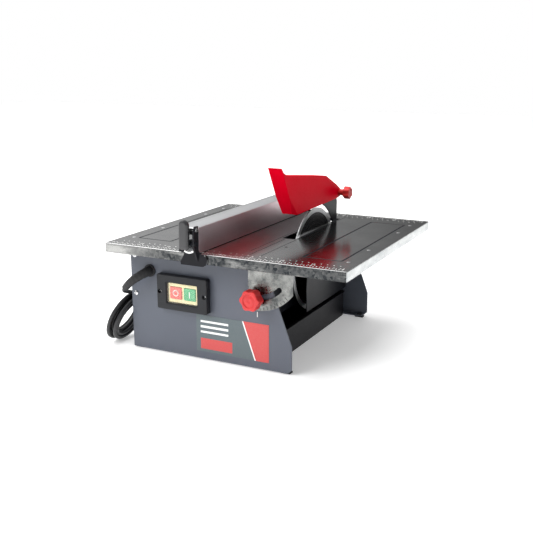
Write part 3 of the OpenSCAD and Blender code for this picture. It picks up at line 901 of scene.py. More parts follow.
@dataclass(frozen=True)
class Film:
    """The printed label: a grey field, a red field behind a slanted white line, and a red panel.

    The line crosses X at slant[0] where Z is slant_z, and leans left by slant[1] for each step up.
    White bars fill the box called bars, one every two pitches. The blank between two of them is
    twice the gap high, and blank_z is the middle of one.
    """

    name: str
    grey: Colour = (0.078, 0.108, 0.118)
    red: Colour = (0.56, 0.045, 0.042)
    white: Colour = (0.86, 0.87, 0.86)
    slant: Flat = (35, 0.36)
    slant_z: float = 45
    line: float = 2.2
    panel: Box = (-53, 5, 19, 37)
    bars: Box = (-53, -2, 46, 67)
    blank_z: float = 52
    pitch: float = 4.5
    gap: float = 2.6

    def material(self) -> bpy.types.Material:
        """Builds the material."""
        paint = Paint(self.name)
        parts = paint.add("ShaderNodeSeparateXYZ", {0: paint.place}).outputs
        x, z = [paint.math("MULTIPLY", parts[axis.value], 1 / MM) for axis in (Axis.X, Axis.Z)]

        def within(box: Box) -> bpy.types.NodeSocket:
            """Is 1 inside a box of X and Z."""
            inside = 1.0
            for value, low, high in ((x, *box[:2]), (z, *box[2:])):
                inside = paint.math("MULTIPLY", inside, paint.math("GREATER_THAN", value, low))
                inside = paint.math("MULTIPLY", inside, paint.math("LESS_THAN", value, high))
            return inside

        rise = paint.math("MULTIPLY", paint.math("SUBTRACT", z, self.slant_z), self.slant[1])
        edge = paint.math("SUBTRACT", paint.math("ADD", x, rise), self.slant[0])
        beyond = paint.math("GREATER_THAN", edge, 0.0)
        on_line = paint.math("LESS_THAN", paint.math("ABSOLUTE", edge), self.line / 2)
        stripe = paint.math("PINGPONG", paint.math("SUBTRACT", z, self.blank_z), self.pitch)
        bars = paint.math("MULTIPLY", paint.math("GREATER_THAN", stripe, self.gap), within(self.bars))
        field = paint.mix(paint.math("MAXIMUM", beyond, within(self.panel)), self.grey, self.red)
        ink = paint.cloud(0.6)
        worn = paint.mix(paint.spread(ink, 0.3, 0.8, 0.0, 0.12), field, (0.5, 0.5, 0.5))
        return paint.finish(
            {
                "Base Color": paint.mix(paint.math("MAXIMUM", on_line, bars), worn, self.white),
                "Roughness": paint.spread(ink, 0.3, 0.7, 0.3, 0.42),
                "Normal": paint.bump(ink, 0.008),
            }
        )


SLOT_FINISHES = {
    Slot.POWDER_COAT: Skin(
        "slate_powder_coat", (0.098, 0.11, 0.137), (0.082, 0.092, 0.118), 120, (0.36, 0.46), depth=0.03
    ),
    Slot.DARK_COAT: Skin(
        "dark_coat", (0.012, 0.013, 0.017), (0.008, 0.009, 0.012), 70, (0.3, 0.42), level=0.12
    ),
    Slot.GUARD_RED: Skin(
        "guard_red_coat", (0.7, 0.001, 0.016), (0.63, 0.001, 0.013), 60, (0.24, 0.3), 1.6, 0.004,
        level=0.01, wear=0.02,
    ),
    Slot.KNOB_RED: Skin(
        "knob_red_plastic", (0.62, 0.035, 0.034), (0.52, 0.022, 0.024), 14, grain=0.5, depth=0.012, wear=0.03
    ),
    Slot.BLACK_PLASTIC: Skin(
        "black_plastic", (0.012, 0.012, 0.015), (0.008, 0.008, 0.01), 25, grain=0.5, level=0.15
    ),
    Slot.CHARCOAL: Skin(
        "charcoal_plastic", (0.017, 0.018, 0.021), (0.012, 0.013, 0.015), 30, (0.36, 0.5), 0.45, level=0.3
    ),
    Slot.RUBBER: Skin("rubber", (0.02, 0.02, 0.021), (0.012, 0.012, 0.013), 12, (0.55, 0.7), 0.6),
    Slot.CORD: Skin("cord_rubber", (0.02, 0.02, 0.022), (0.013, 0.013, 0.015), 18, (0.34, 0.48), 0.7),
    Slot.BUTTON_RED: Skin(
        "button_red", (0.72, 0.13, 0.12), (0.64, 0.1, 0.1), 8, (0.25, 0.32), 0.4, 0.006
    ),
    Slot.BUTTON_GREEN: Skin(
        "button_green", (0.07, 0.42, 0.2), (0.05, 0.36, 0.17), 8, (0.25, 0.32), 0.4, 0.006
    ),
    Slot.ZINC: Metal("bright_zinc", (0.86, 0.86, 0.85), (0.55, 0.56, 0.58), (0.14, 0.26), patch=6),
    Slot.ANODISED: Metal(
        "anodised_aluminium", (0.8, 0.81, 0.82), (0.7, 0.71, 0.73), (0.3, 0.38), (1, 0.01, 1), 0.7, patch=60
    ),
    Slot.CAST_ALLOY: Metal("cast_alloy", (0.5, 0.51, 0.52), (0.36, 0.37, 0.38), (0.4, 0.55), depth=0.04),
    Slot.MOTOR_STEEL: Metal(
        "motor_steel", (0.42, 0.43, 0.45), (0.28, 0.29, 0.31), (0.3, 0.45), (0.05, 1, 1), 1.0, 0.01
    ),
    Slot.GALVANISED: ZincCoat("galvanised_sheet"),
    Slot.TABLE_STEEL: TableFace("polished_table"),
    Slot.DISC_STEEL: Turned("disc_steel", (0.035, 0.035, 0.038), (0.014, 0.014, 0.016), (0.2, 0.32)),
    Slot.DIAMOND_RIM: Turned(
        "diamond_rim", (0.72, 0.73, 0.73), (0.36, 0.37, 0.38), (0.28, 0.5), grit=0.85, depth=0.06
    ),
    Slot.COPPER: Windings("copper_windings"),
    Slot.MEMBRANE: Clear("splash_membrane"),
    Slot.LABEL: Film("label_film"),
}
WHITE_PRINT = Skin(
    "white_print", (0.82, 0.82, 0.8), (0.72, 0.72, 0.7), 5, (0.3, 0.4), 0.3, 0.004, wear=0.0
)
DARK_PRINT = Skin("dark_print", (0.012, 0.012, 0.013), (0.02, 0.02, 0.02), 5, (0.35, 0.45), 0.3, 0.004)
CREAM = Skin("cream_liner", (0.86, 0.78, 0.5), (0.78, 0.68, 0.38), 12, (0.35, 0.45), 0.4, 0.004)
# Painted light: a lighter copy of the galvanised finish for the table's side flanges.
PAINTED_LIT_FLANGE = ZincCoat(
    "painted_lit_flange", (0.68, 0.69, 0.68), (0.36, 0.38, 0.39), 4, (0.26, 0.38), run=(1, 0.25, 1), blotch=30
)
# Painted shade: a darker copy of the galvanised finish for the table's front and back flanges, lightened
# towards its left end as a painted reflection.
PAINTED_SHADED_FLANGE = ZincCoat(
    "painted_shaded_flange", (0.36, 0.36, 0.35), (0.022, 0.025, 0.028), 4, (0.14, 0.28), (0.5, 0.74),
    run=(0.22, 1, 1), blotch=16, pale_from=(-200, -90),
)
# Painted reflection: a pinkish copy of the anodised finish for the rail's right-hand face.
PAINTED_REFLECTION_RAIL_SIDE = Metal(
    "painted_reflection_rail_side", (0.86, 0.74, 0.77), (0.76, 0.65, 0.68), (0.34, 0.42), (1, 0.01, 1), 0.7, patch=60
)
GRIP = Skin(
    "satin_black_grip", (0.02, 0.02, 0.022), (0.014, 0.014, 0.016), 25, (0.26, 0.36), 0.5, level=0.75
)
# Painted highlight: a near-white metal for the table's rounded top edge and for the crescent at the fence
# hook's notch, where light catches these edges.
PAINTED_EDGE_HIGHLIGHT = Metal("painted_edge_highlight", (0.9, 0.9, 0.89), (0.7, 0.7, 0.7), (0.2, 0.3), patch=9)

Finish = Skin | Metal | ZincCoat | TableFace | Turned | Windings | Clear | Film


class Finishes:
    """Builds each finish of the machine once, when a piece first asks for it."""

    def __init__(self) -> None:
        """Starts with none."""
        self.made: dict[str, bpy.types.Material] = {}

    def __getitem__(self, wanted: Slot | Finish) -> bpy.types.Material:
        """The material of a slot or of a finish."""
        finish = SLOT_FINISHES[wanted] if isinstance(wanted, Slot) else wanted
        if finish.name not in self.made:
            self.made[finish.name] = finish.material()
        return self.made[finish.name]


# Studio ------------------------------------------------------------------------------


@dataclass
class Lamp:
    """One square soft light that looks at the machine."""

    name: str
    place: Point
    side: float
    power: float
    aim: Point = (0, 0, 120)

    def build(self) -> None:
        """Adds the light."""
        bpy.ops.object.select_all(action="DESELECT")
        place = metres(self.place)
        bpy.ops.object.light_add(type="AREA", location=place)
        lamp = bpy.context.object
        lamp.name = self.name
        lamp.data.size = self.side * MM
        lamp.data.energy = self.power
        lamp.visible_glossy = False
        aim = metres(self.aim) - place
        lamp.rotation_mode = "QUATERNION"
        lamp.rotation_quaternion = aim.to_track_quat("-Z", "Y")


@dataclass
class Studio:
    """The camera, the pale floor and the soft lights."""

    azimuth: float = 26.86
    elevation: float = 14.34
    distance: float = 1432.57
    aim: Point = (-19.78, 0, 120.78)
    lens: float = 55.12
    sensor: float = 36
    floor_side: float = 12000
    floor_patch: float = 500
    floor_glow: float = 0.28
    sky_rise: Flat = (0.12, 0.8)
    sky_level: Flat = (0.2, 1.2)
    sky_turn: Flat = (-0.6, -0.25)
    sky_sides: Flat = (2.1, 0.5)

    def build(self) -> None:
        """Adds everything."""
        self.camera()
        self.floor()
        self.sky()
        for lamp in (
            Lamp("key_light", (-1000, -1500, 1300), 1400, 30),
            Lamp("side_light", (1700, -300, 1100), 1200, 3),
            Lamp("top_light", (0, 100, 1900), 1500, 25),
            Lamp("back_light", (-300, 1900, 1300), 1300, 9),
        ):
            lamp.build()
        bpy.context.scene.view_settings.view_transform = "Standard"

    def camera(self) -> None:
        """Adds the camera."""
        azimuth, elevation = math.radians(self.azimuth), math.radians(self.elevation)
        flat = math.cos(elevation)
        back = Vector((math.sin(azimuth) * flat, -math.cos(azimuth) * flat, math.sin(elevation)))
        bpy.ops.object.select_all(action="DESELECT")
        bpy.ops.object.camera_add(location=metres(self.aim) + back * self.distance * MM)
        camera = bpy.context.object
        camera.name = "view_camera"
        camera.rotation_mode = "QUATERNION"
        camera.rotation_quaternion = (-back).to_track_quat("-Z", "Y")
        camera.data.lens = self.lens
        camera.data.sensor_width = self.sensor
        bpy.context.scene.camera = camera

    def floor(self) -> None:
        """Adds the floor."""
        bpy.ops.object.select_all(action="DESELECT")
        bpy.ops.mesh.primitive_plane_add(size=self.floor_side * MM)
        floor = named("studio_floor")
        paint = Paint("pale_floor")
        patches = paint.cloud(self.floor_patch)
        pale = {
            "Base Color": paint.mix(patches, (0.9, 0.9, 0.9), (0.93, 0.93, 0.93)),
            "Roughness": paint.spread(patches, 0.3, 0.7, 0.75, 0.85),
            "Specular IOR Level": 0.1,
            "Emission Color": (1, 1, 1),
            "Emission Strength": self.floor_glow,
        }
        floor.data.materials.append(paint.finish(pale))

    def sky(self) -> None:
        """Surrounds the studio with an even light, dimmer near the horizon and brighter on the left."""
        world = bpy.data.worlds.new("studio")
        bpy.context.scene.world = world
        world.use_nodes = True
        graph = Graph(world.node_tree)
        graph.tree.nodes.clear()
        direction = graph.add("ShaderNodeTexCoord").outputs["Generated"]
        across, _, height = graph.add("ShaderNodeSeparateXYZ", {0: direction}).outputs
        upward = graph.spread(height, *self.sky_rise, *self.sky_level)
        sideways = graph.spread(across, *self.sky_turn, *self.sky_sides)
        level = graph.math("MULTIPLY", upward, sideways)
        grey = graph.add("ShaderNodeCombineColor", {0: level, 1: level, 2: level}).outputs[0]
        light, plain = [
            graph.add("ShaderNodeBackground", {"Color": colour, "Strength": 1.0}).outputs[0]
            for colour in (grey, (1, 1, 1))
        ]
        seen = graph.add("ShaderNodeLightPath").outputs["Is Camera Ray"]
        mixed = graph.add("ShaderNodeMixShader", {0: seen, 1: light, 2: plain}).outputs[0]
        graph.add("ShaderNodeOutputWorld", {"Surface": mixed})


# What every part is made with --------------------------------------------------------


@dataclass
class Maker:
    """Makes some of the machine's pieces and dresses them in its finishes."""

    finishes: Finishes

    def dress(
        self,
        piece: bpy.types.Object,
        body: Body,
        slot: Slot,
        *stands_for: str,
        finish: Finish | None = None,
    ) -> bpy.types.Object:
        """Gives a piece its finish, parents it to the empty of the body it rides on, and hides the CAD nodes
        that it stands for.

        Args:
            piece: The finished shape. Faces that have their finish already keep it.
            body: The body it rides on.
            slot: The record's material slot.
            *stands_for: The CAD nodes that it replaces, which are hidden.
            finish: Its finish, where that isn't the slot's own.

        Returns:
            The same piece.
        """
        if not piece.data.materials:
            piece.data.materials.append(self.finishes[finish or slot])
        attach(piece, body.value)
        if stands_for:
            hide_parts(*stands_for)
        log.info("%s rides on %s", piece.name, body.value)
        return piece

    def rework(
        self,
        name: str,
        node: str,
        body: Body,
        slot: Slot,
        edge: float,
        segments: int = 2,
        angle: float = 50,
    ) -> bpy.types.Object:
        """Makes a piece with a CAD node's shape and rounded edges.

        Args:
            name: The piece's name.
            node: The CAD node that it replaces.
            body: The body it rides on.
            slot: The record's material slot.
            edge: The rounding's width in millimetres.
            segments: How many faces make the rounding.
            angle: The angle in degrees over which an edge is rounded.

        Returns:
            The piece.
        """
        piece = round_edges(node_copy(name, node), edge, segments, angle)
        return self.dress(shade(piece), body, slot, node)

    def keep(self, node: str, slot: Slot) -> None:
        """Gives a CAD node that keeps its shape the finish of a slot."""
        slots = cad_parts[node].data.materials
        slots.clear()
        slots.append(self.finishes[slot])
        log.info("%s keeps its shape", node)


# Cord --------------------------------------------------------------------------------


@dataclass
class MainsCord(Maker):
    """The mains cord: its lead, its wound coil, its tail, and what is on it."""

    diameter: float = 6.5
    coil_radius: float = 38
    lean: float = 25
    strands: int = 7
    panel_left: float = -186
    panel_gap: float = 0.5
    floor_gap: float = 0.1
    coil_y: float = -148
    first_angle: float = 70
    turned: float = 2230
    step_angle: float = 7.5
    lead: tuple[Point, ...] = (
        (-184, -190, 109), (-188.5, -188, 104.8), (-192, -183.5, 101.5), (-194, -177.5, 98.8),
        (-195, -171, 96.5), (-195.5, -164, 94.2), (-195.8, -157, 91.9), (-195.8, -150, 89.6),
        (-195.6, -143, 87.2), (-195.3, -137, 85),
    )
    tail: tuple[Point, ...] = (
        (-211, -104, 38), (-213.5, -103, 32.5), (-216, -100.5, 26.5), (-218, -96.5, 21),
        (-219.5, -91, 15.5), (-220.5, -84, 10.5), (-221, -76, 6.6), (-221, -67, 4.3),
        (-220.5, -57, 3.4), (-219, -45, 3.4), (-217, -30, 3.4), (-215, -14, 3.4), (-213.5, 2, 3.4),
        (-213, 18, 3.6), (-213, 34, 5), (-213, 50, 8), (-213.5, 64, 12.2), (-214, 76, 15.8),
        (-214, 86, 17.9), (-214, 96, 18.5),
    )
    relief: tuple[Point, ...] = (
        (-148, -172, 138), (-148, -175, 138), (-150.5, -181.5, 136), (-155.5, -187.5, 132.5),
        (-162, -191.5, 128), (-169.5, -193, 122), (-177, -192, 115.5), (-184, -190, 109),
    )
    relief_radii: tuple[float, ...] = (8.1, 8, 7.7, 7.4, 7.1, 6.7, 6.3, 5.9)
    groove: float = 0.55
    grooved: Flat = (0.3, 0.9)

    def coil(self) -> list[Vector]:
        """The coil's centreline, strand beside strand round its bundle."""
        lean = math.radians(self.lean)
        up = Vector((math.sin(lean), 0, math.cos(lean)))
        normal = Vector((-math.cos(lean), 0, math.sin(lean)))
        bundle = self.diameter / 2 / math.sin(math.pi / self.strands)
        tube = bundle + self.diameter / 2
        reach = up * self.coil_radius
        across_floor = self.panel_left - self.panel_gap - reach.x - tube
        centre = Vector((across_floor, self.coil_y, reach.z + tube + self.floor_gap))
        points = []
        steps = round(self.turned / self.step_angle)
        for i in range(steps + 1):
            done = self.turned * i / steps
            around = math.radians(self.first_angle - done)
            across = math.radians(done / self.strands)
            out = Vector((0, math.cos(around), 0)) + up * math.sin(around)
            middle = centre + out * (self.coil_radius + bundle * math.cos(across))
            points.append(middle + normal * bundle * math.sin(across))
        return points

    def build(self) -> None:
        """Makes the cord and the pieces on it."""
        route = [*map(Vector, self.lead), *self.coil(), *map(Vector, self.tail)]
        centre = [point * MM for point in smooth_line(route, 3)]
        cord = tube_curve("mains_cord", centre, [self.diameter / 2 * MM] * len(centre))
        self.dress(cord, Body.CHASSIS, Slot.CORD, "cord_lead", "cord_coil", "cord_tail")
        length = sum((b - a).length for a, b in zip(centre, centre[1:]))
        plug = self.plug()
        tie = self.rework("cord_strap", "cord_tie", Body.CHASSIS, Slot.BLACK_PLASTIC, 0.4, angle=30)
        tuple(metres(self.lead[0]))
        log.info("mains cord: %.3f m", length)
        self.strain_relief()
        self.rework("gland", "cord_gland", Body.CHASSIS, Slot.RUBBER, 0.8, 3, 30)

    def strain_relief(self) -> None:
        """Makes the tapered sleeve with its shallow grooves."""
        line = smooth_line([Vector(p) for p in self.relief], 8)
        radii = []
        for i in range(len(line)):
            share = i / (len(line) - 1)
            where = share * (len(self.relief_radii) - 1)
            first = min(int(where), len(self.relief_radii) - 2)
            before, after = self.relief_radii[first : first + 2]
            on_groove = self.grooved[0] < share < self.grooved[1] and i % 5 == 2
            radius = before + (where - first) * (after - before) - (self.groove if on_groove else 0)
            radii.append(radius * MM)
        sleeve = as_mesh(tube_curve("strain_sleeve", [p * MM for p in line], radii))
        self.dress(shade(sleeve, 60), Body.CHASSIS, Slot.RUBBER, "strain_relief")

    def plug(self) -> bpy.types.Object:
        """Makes the moulded plug with its two bright pins and grip ribs."""
        ribs = [(7.6 + 0.3 * (i % 2), 17 + 1.2 * i) for i in range(5)]
        profile = [(0, 0), (4.6, 0), (5, 0.6), (6.3, 14), *ribs, (11.5, 24), (16, 32), (18.4, 35.5),
                   (18.4, 44), (17.6, 45), (0, 45)]
        body = shade(lathe("plug_body", profile, 64), 35)
        body.data.materials.append(self.finishes[Slot.RUBBER])
        pins = []
        for side in (-9.5, 9.5):
            pin = rod("pin", 2.4, (side, 0, 54), 20, Axis.Z, 24)
            pin.data.materials.append(self.finishes[Slot.ZINC])
            pins.append(shade(round_edges(pin, 0.9)))
        whole = gather("mains_plug", [body, *pins])
        whole.data.transform(facing(Axis.Y, 1, self.tail[-1]))
        return self.dress(whole, Body.CHASSIS, Slot.RUBBER, "plug")


def smooth_line(points: Sequence[Vector], steps: int) -> list[Vector]:
    """Puts more points between the given ones, on a smooth curve through all of them.

    Args:
        points: The points.
        steps: How many pieces each stretch is cut into.

    Returns:
        The longer list, with both ends kept.
    """
    line = []
    for i in range(len(points) - 1):
        before = points[max(i - 1, 0)]
        here, after = points[i], points[i + 1]
        beyond = points[min(i + 2, len(points) - 1)]
        for k in range(steps):
            t = k / steps
            line.append(
                0.5
                * (
                    2 * here
                    + (after - before) * t
                    + (2 * before - 5 * here + 4 * after - beyond) * t * t
                    + (3 * here - before - 3 * after + beyond) * t * t * t
                )
            )
    return [*line, points[-1]]


def tube_curve(
    name: str, line: Sequence[Vector], radii: Sequence[float], resolution: int = 6
) -> bpy.types.Object:
    """Makes a round tube as a curve of one open spline.

    Args:
        name: The piece's name.
        line: Its centreline in metres.
        radii: Its radius at each point in metres.
        resolution: How finely its section is cut.

    Returns:
        The curve.
    """
    curve = bpy.data.curves.new(name, "CURVE")
    curve.dimensions = "3D"
    curve.bevel_depth = max(radii)
    curve.bevel_resolution = resolution
    curve.use_fill_caps = True
    spline = curve.splines.new("POLY")
    spline.points.add(len(line) - 1)
    for point, place, radius in zip(spline.points, line, radii):
        point.co = (*place, 1)
        point.radius = radius / curve.bevel_depth
    spline.use_smooth = True
    piece = bpy.data.objects.new(name, curve)
    bpy.context.scene.collection.objects.link(piece)
    return piece


def as_mesh(piece: bpy.types.Object) -> bpy.types.Object:
    """Turns a curve into a mesh."""
    hold(piece)
    bpy.ops.object.convert(target="MESH")
    made = bpy.context.object
    face_out(made)
    return made


# Fasteners and knobs -----------------------------------------------------------------


@dataclass
class PanScrew:
    """A pan-head screw with a cross recess, facing +Z from its seat at the origin."""

    head: float = 4.2
    height: float = 2.4
    shank: float = 2.0
    length: float = 4.0

    def build(self) -> bpy.types.Object:
        """Makes one screw."""
        profile = [(0, -self.length), (self.shank, -self.length), (self.shank, 0), (self.head, 0),
                   (self.head, self.height * 0.35), (self.head * 0.93, self.height * 0.66),
                   (self.head * 0.72, self.height * 0.9), (self.head * 0.4, self.height), (0, self.height)]
        screw = lathe("screw", profile, 32)
        reach, width = self.head * 0.55, self.head * 0.11
        depth = self.height * 0.35
        for size in ((reach, width), (width, reach)):
            cut(screw, block("bit", (-size[0], -size[1], depth), (size[0], size[1], self.height + 1)))
        return shade(screw, 32)


@dataclass
class LobedKnob:
    """A moulded clamping knob that faces +Z, with its seat at the origin."""

    radius: float
    waist: float
    start: float
    stop: float
    hub: float
    bore: float
    recess: float
    edge: float
    lobes: int = 6
    sides: int = 96

    def build(self, name: str) -> bpy.types.Object:
        """Makes the knob.

        Args:
            name: The piece's name.

        Returns:
            The knob at the origin.
        """
        swing, middle = (self.radius - self.waist) / 2, (self.radius + self.waist) / 2
        points = []
        for i in range(self.sides):
            angle = 2 * math.pi * i / self.sides
            reach = middle + swing * math.cos(self.lobes * angle)
            points.append((reach * math.cos(angle), reach * math.sin(angle)))
        grip = prism(name, points, Axis.Z, self.start, self.stop)
        round_edges(grip, self.edge, 4, 50)
        top, rim = self.stop, self.recess
        well = [(0, top + 1), (rim + 0.4, top + 1), (rim, top - 0.2), (rim - 0.9, top - 1.3),
                (rim * 0.66, top - 1.3), (rim * 0.58, top - 0.5), (rim * 0.3, top - 0.5),
                (rim * 0.25, top - 1), (0, top - 1)]
        cut(grip, lathe("well", well, 64))
        neck = rod("neck", self.hub, (0, 0, self.start / 2 + 0.5), self.start + 1, Axis.Z, 40)
        cut(neck, rod("bore", self.bore, (0, 0, self.start / 2 - 1), self.start + 2.5, Axis.Z, 32))
        round_edges(neck, 0.35, 2, 50)
        return shade(gather(name, [shade(grip, 45), shade(neck, 45)]), 45)


# Machine -----------------------------------------------------------------------------


@dataclass
class Cabinet(Maker):
    """The folded body, its cover and wall, its feet, screws and label."""

    edge: float = 0.45
    screw_x: float = -177
    screw_z: Flat = (96.4, 161.4)
    panel_y: float = 169
    pointer: Box = (49.4, 50.6, 86.5, 95)
    ink: float = 0.15

    def build(self) -> None:
        """Makes the body."""
        for name, node, slot in (
            ("switch_side_panel", "front_panel", Slot.POWDER_COAT),
            ("far_side_panel", "rear_panel", Slot.POWDER_COAT),
            ("vented_cover", "side_cover", Slot.POWDER_COAT),
            ("inner_wall", "bulkhead", Slot.DARK_COAT),
        ):
            self.rework(name, node, Body.CHASSIS, slot, self.edge)
        self.rework("push_in_feet", "rubber_feet", Body.CHASSIS, Slot.RUBBER, 0.5, 3)
        places = [
            facing(Axis.Y, side, (self.screw_x, side * self.panel_y, z))
            for z in self.screw_z
            for side in (-1, 1)
        ]
        screws = placed(PanScrew().build(), "cover_screws", places)
        self.dress(screws, Body.CHASSIS, Slot.ZINC, "panel_screws")
        self.keep("front_label", Slot.LABEL)
        x0, x1, z0, z1 = self.pointer
        mark = block("tilt_mark", (x0, -self.panel_y - self.ink, z0), (x1, -self.panel_y, z1))
        self.dress(round_edges(mark, 0.05, 1), Body.CHASSIS, Slot.LABEL, finish=WHITE_PRINT)


@dataclass
class Motor(Maker):
    """The motor on its cradle, with its shaft, its fan and its capacitor."""

    def build(self) -> None:
        """Finishes the motor's pieces."""
        for name, node, slot, body, edge in (
            ("motor_tube", "motor_casing", Slot.MOTOR_STEEL, Body.CHASSIS, 0.3),
            ("motor_castings", "motor_end_bells", Slot.CAST_ALLOY, Body.CHASSIS, 0.8),
            ("motor_saddle", "motor_cradle", Slot.DARK_COAT, Body.CHASSIS, 0.5),
            ("run_capacitor", "capacitor", Slot.BLACK_PLASTIC, Body.CHASSIS, 1.5),
            ("shaft", "motor_shaft", Slot.ZINC, Body.SPINDLE, 0.6),
            ("fan", "cooling_fan", Slot.BLACK_PLASTIC, Body.SPINDLE, 0.3),
        ):
            self.rework(name, node, body, slot, edge)
        self.keep("stator", Slot.COPPER)
        self.keep("rotor", Slot.MOTOR_STEEL)
        self.keep("bearings", Slot.ZINC)


@dataclass
class Switch(Maker):
    """The switch: its bezel, screws, buttons, liner and splash membrane."""

    bezel_low: Flat = (-128, 80)
    bezel_high: Flat = (-34, 138)
    window_low: Flat = (-109, 91.5)
    window_high: Flat = (-52, 125.5)
    seat: float = -169
    face: float = -181
    screw_in: float = 5
    screw_z: float = 109
    button_x: Flat = (-93.5, -67.5)
    button_z: Flat = (98.5, 118.5)
    button_half: float = 11
    button_y: Flat = (-178, -164.3)
    dome_y: Flat = (-180, -173.2)
    dome_wall: float = 0.9
    dome_front: float = 0.7
    liner_y: Flat = (-176.6, -173.1)

    def window(self, name: str, inset: float, radius: float, low: float, high: float) -> bpy.types.Object:
        """Draws the window's outline out along Y.

        Args:
            name: The shape's name.
            inset: How far it stays inside the window, in millimetres.
            radius: Its corners' radius.
            low: Where it starts on Y.
            high: Where it ends on Y.

        Returns:
            The shape.
        """
        (x0, z0), (x1, z1) = self.window_low, self.window_high
        shape = rounded_box((x0 + inset, z0 + inset), (x1 - inset, z1 - inset), radius)
        return prism(name, shape, Axis.Y, low, high)

    def build(self) -> None:
        """Makes the switch."""
        sides = (self.bezel_low[0] + self.screw_in, self.bezel_high[0] - self.screw_in)
        self.bezel(sides)
        pattern = PanScrew(3.3, 2.2, 1.5, 6).build()
        places = [facing(Axis.Y, -1, (x, self.seat - 6, self.screw_z)) for x in sides]
        screws = placed(pattern, "bezel_screws", places)
        self.dress(screws, Body.CHASSIS, Slot.ZINC, "switch_screws")
        self.rework("contact_block", "switch_body", Body.CHASSIS, Slot.BLACK_PLASTIC, 0.3)
        self.membrane()
        self.buttons()

    def bezel(self, screws: Flat) -> None:
        """Makes the bezel with its chamfered front, its window and its screw wells."""
        shape = rounded_box(self.bezel_low, self.bezel_high, 3)
        bezel = prism("bezel", shape, Axis.Y, self.face, self.seat)
        round_edges(bezel, 1.6, 4, 60)
        window = self.window("window", 0, 1.2, self.face - 1, self.seat + 1)
        step = self.window("step", -1.6, 2.4, self.face - 1, self.face + 0.9)
        cut(bezel, window, step)
        for x in screws:
            well = rod("well", 3.6, (x, self.face + 2.5, self.screw_z), 7, Axis.Y, 40)
            cut(bezel, well, rod("hole", 1.5, (x, self.face + 6, self.screw_z), 20, Axis.Y, 24))
        self.dress(shade(bezel, 35), Body.CHASSIS, Slot.CHARCOAL, "switch_bezel")

    def membrane(self) -> None:
        """Makes the milky dome over the buttons and the cream liner round them."""
        front, back = self.dome_y
        dome = round_edges(self.window("dome", 0.1, 2, front, back), 1.3, 4, 60)
        cut(dome, self.window("hollow", 0.1 + self.dome_wall, 1.4, front + self.dome_front, back + 1.2))
        self.dress(shade(dome, 35), Body.CHASSIS, Slot.MEMBRANE, "switch_membrane")
        front, back = self.liner_y
        liner = self.window("button_liner", 1.2, 1.2, front, back)
        reach, (z0, z1) = self.button_half + 0.5, self.button_z
        for x in self.button_x:
            shape = rounded_box((x - reach, z0 - 0.5), (x + reach, z1 + 0.5), 2)
            cut(liner, prism("well", shape, Axis.Y, front - 1.4, back + 1.1))
        round_edges(liner, 0.25, 2, 60)
        self.dress(shade(liner, 35), Body.CHASSIS, Slot.MEMBRANE, finish=CREAM)

    def buttons(self) -> None:
        """Makes both buttons with their raised signs."""
        z0, z1 = self.button_z
        face, foot = self.button_y
        for x, name, node, body, slot, sign in (
            (self.button_x[0], "red_button", "stop_button", Body.STOP, Slot.BUTTON_RED, self.ring),
            (self.button_x[1], "green_button", "start_button", Body.START, Slot.BUTTON_GREEN, self.bar),
        ):
            shape = rounded_box((x - self.button_half, z0), (x + self.button_half, z1), 1.8)
            button = round_edges(prism(name, shape, Axis.Y, face, foot), 0.9, 4, 60)
            self.dress(shade(button, 35), body, slot, node)
            self.dress(sign((x, face, (z0 + z1) / 2)), body, Slot.LABEL, finish=WHITE_PRINT)

    def ring(self, middle: Point) -> bpy.types.Object:
        """Makes the stop button's raised ring."""
        bpy.ops.object.select_all(action="DESELECT")
        bpy.ops.mesh.primitive_torus_add(
            major_radius=4.6 * MM, minor_radius=0.75 * MM, major_segments=48, minor_segments=10,
            location=metres(middle), rotation=(math.pi / 2, 0, 0),
        )
        return shade(named("stop_sign_ring"), 60)

    def bar(self, middle: Point) -> bpy.types.Object:
        """Makes the start button's raised bar."""
        x, y, z = middle
        bar = block("start_sign_bar", (x - 0.85, y - 0.5, z - 5.2), (x + 0.85, y + 0.3, z + 5.2))
        return shade(round_edges(bar, 0.3))


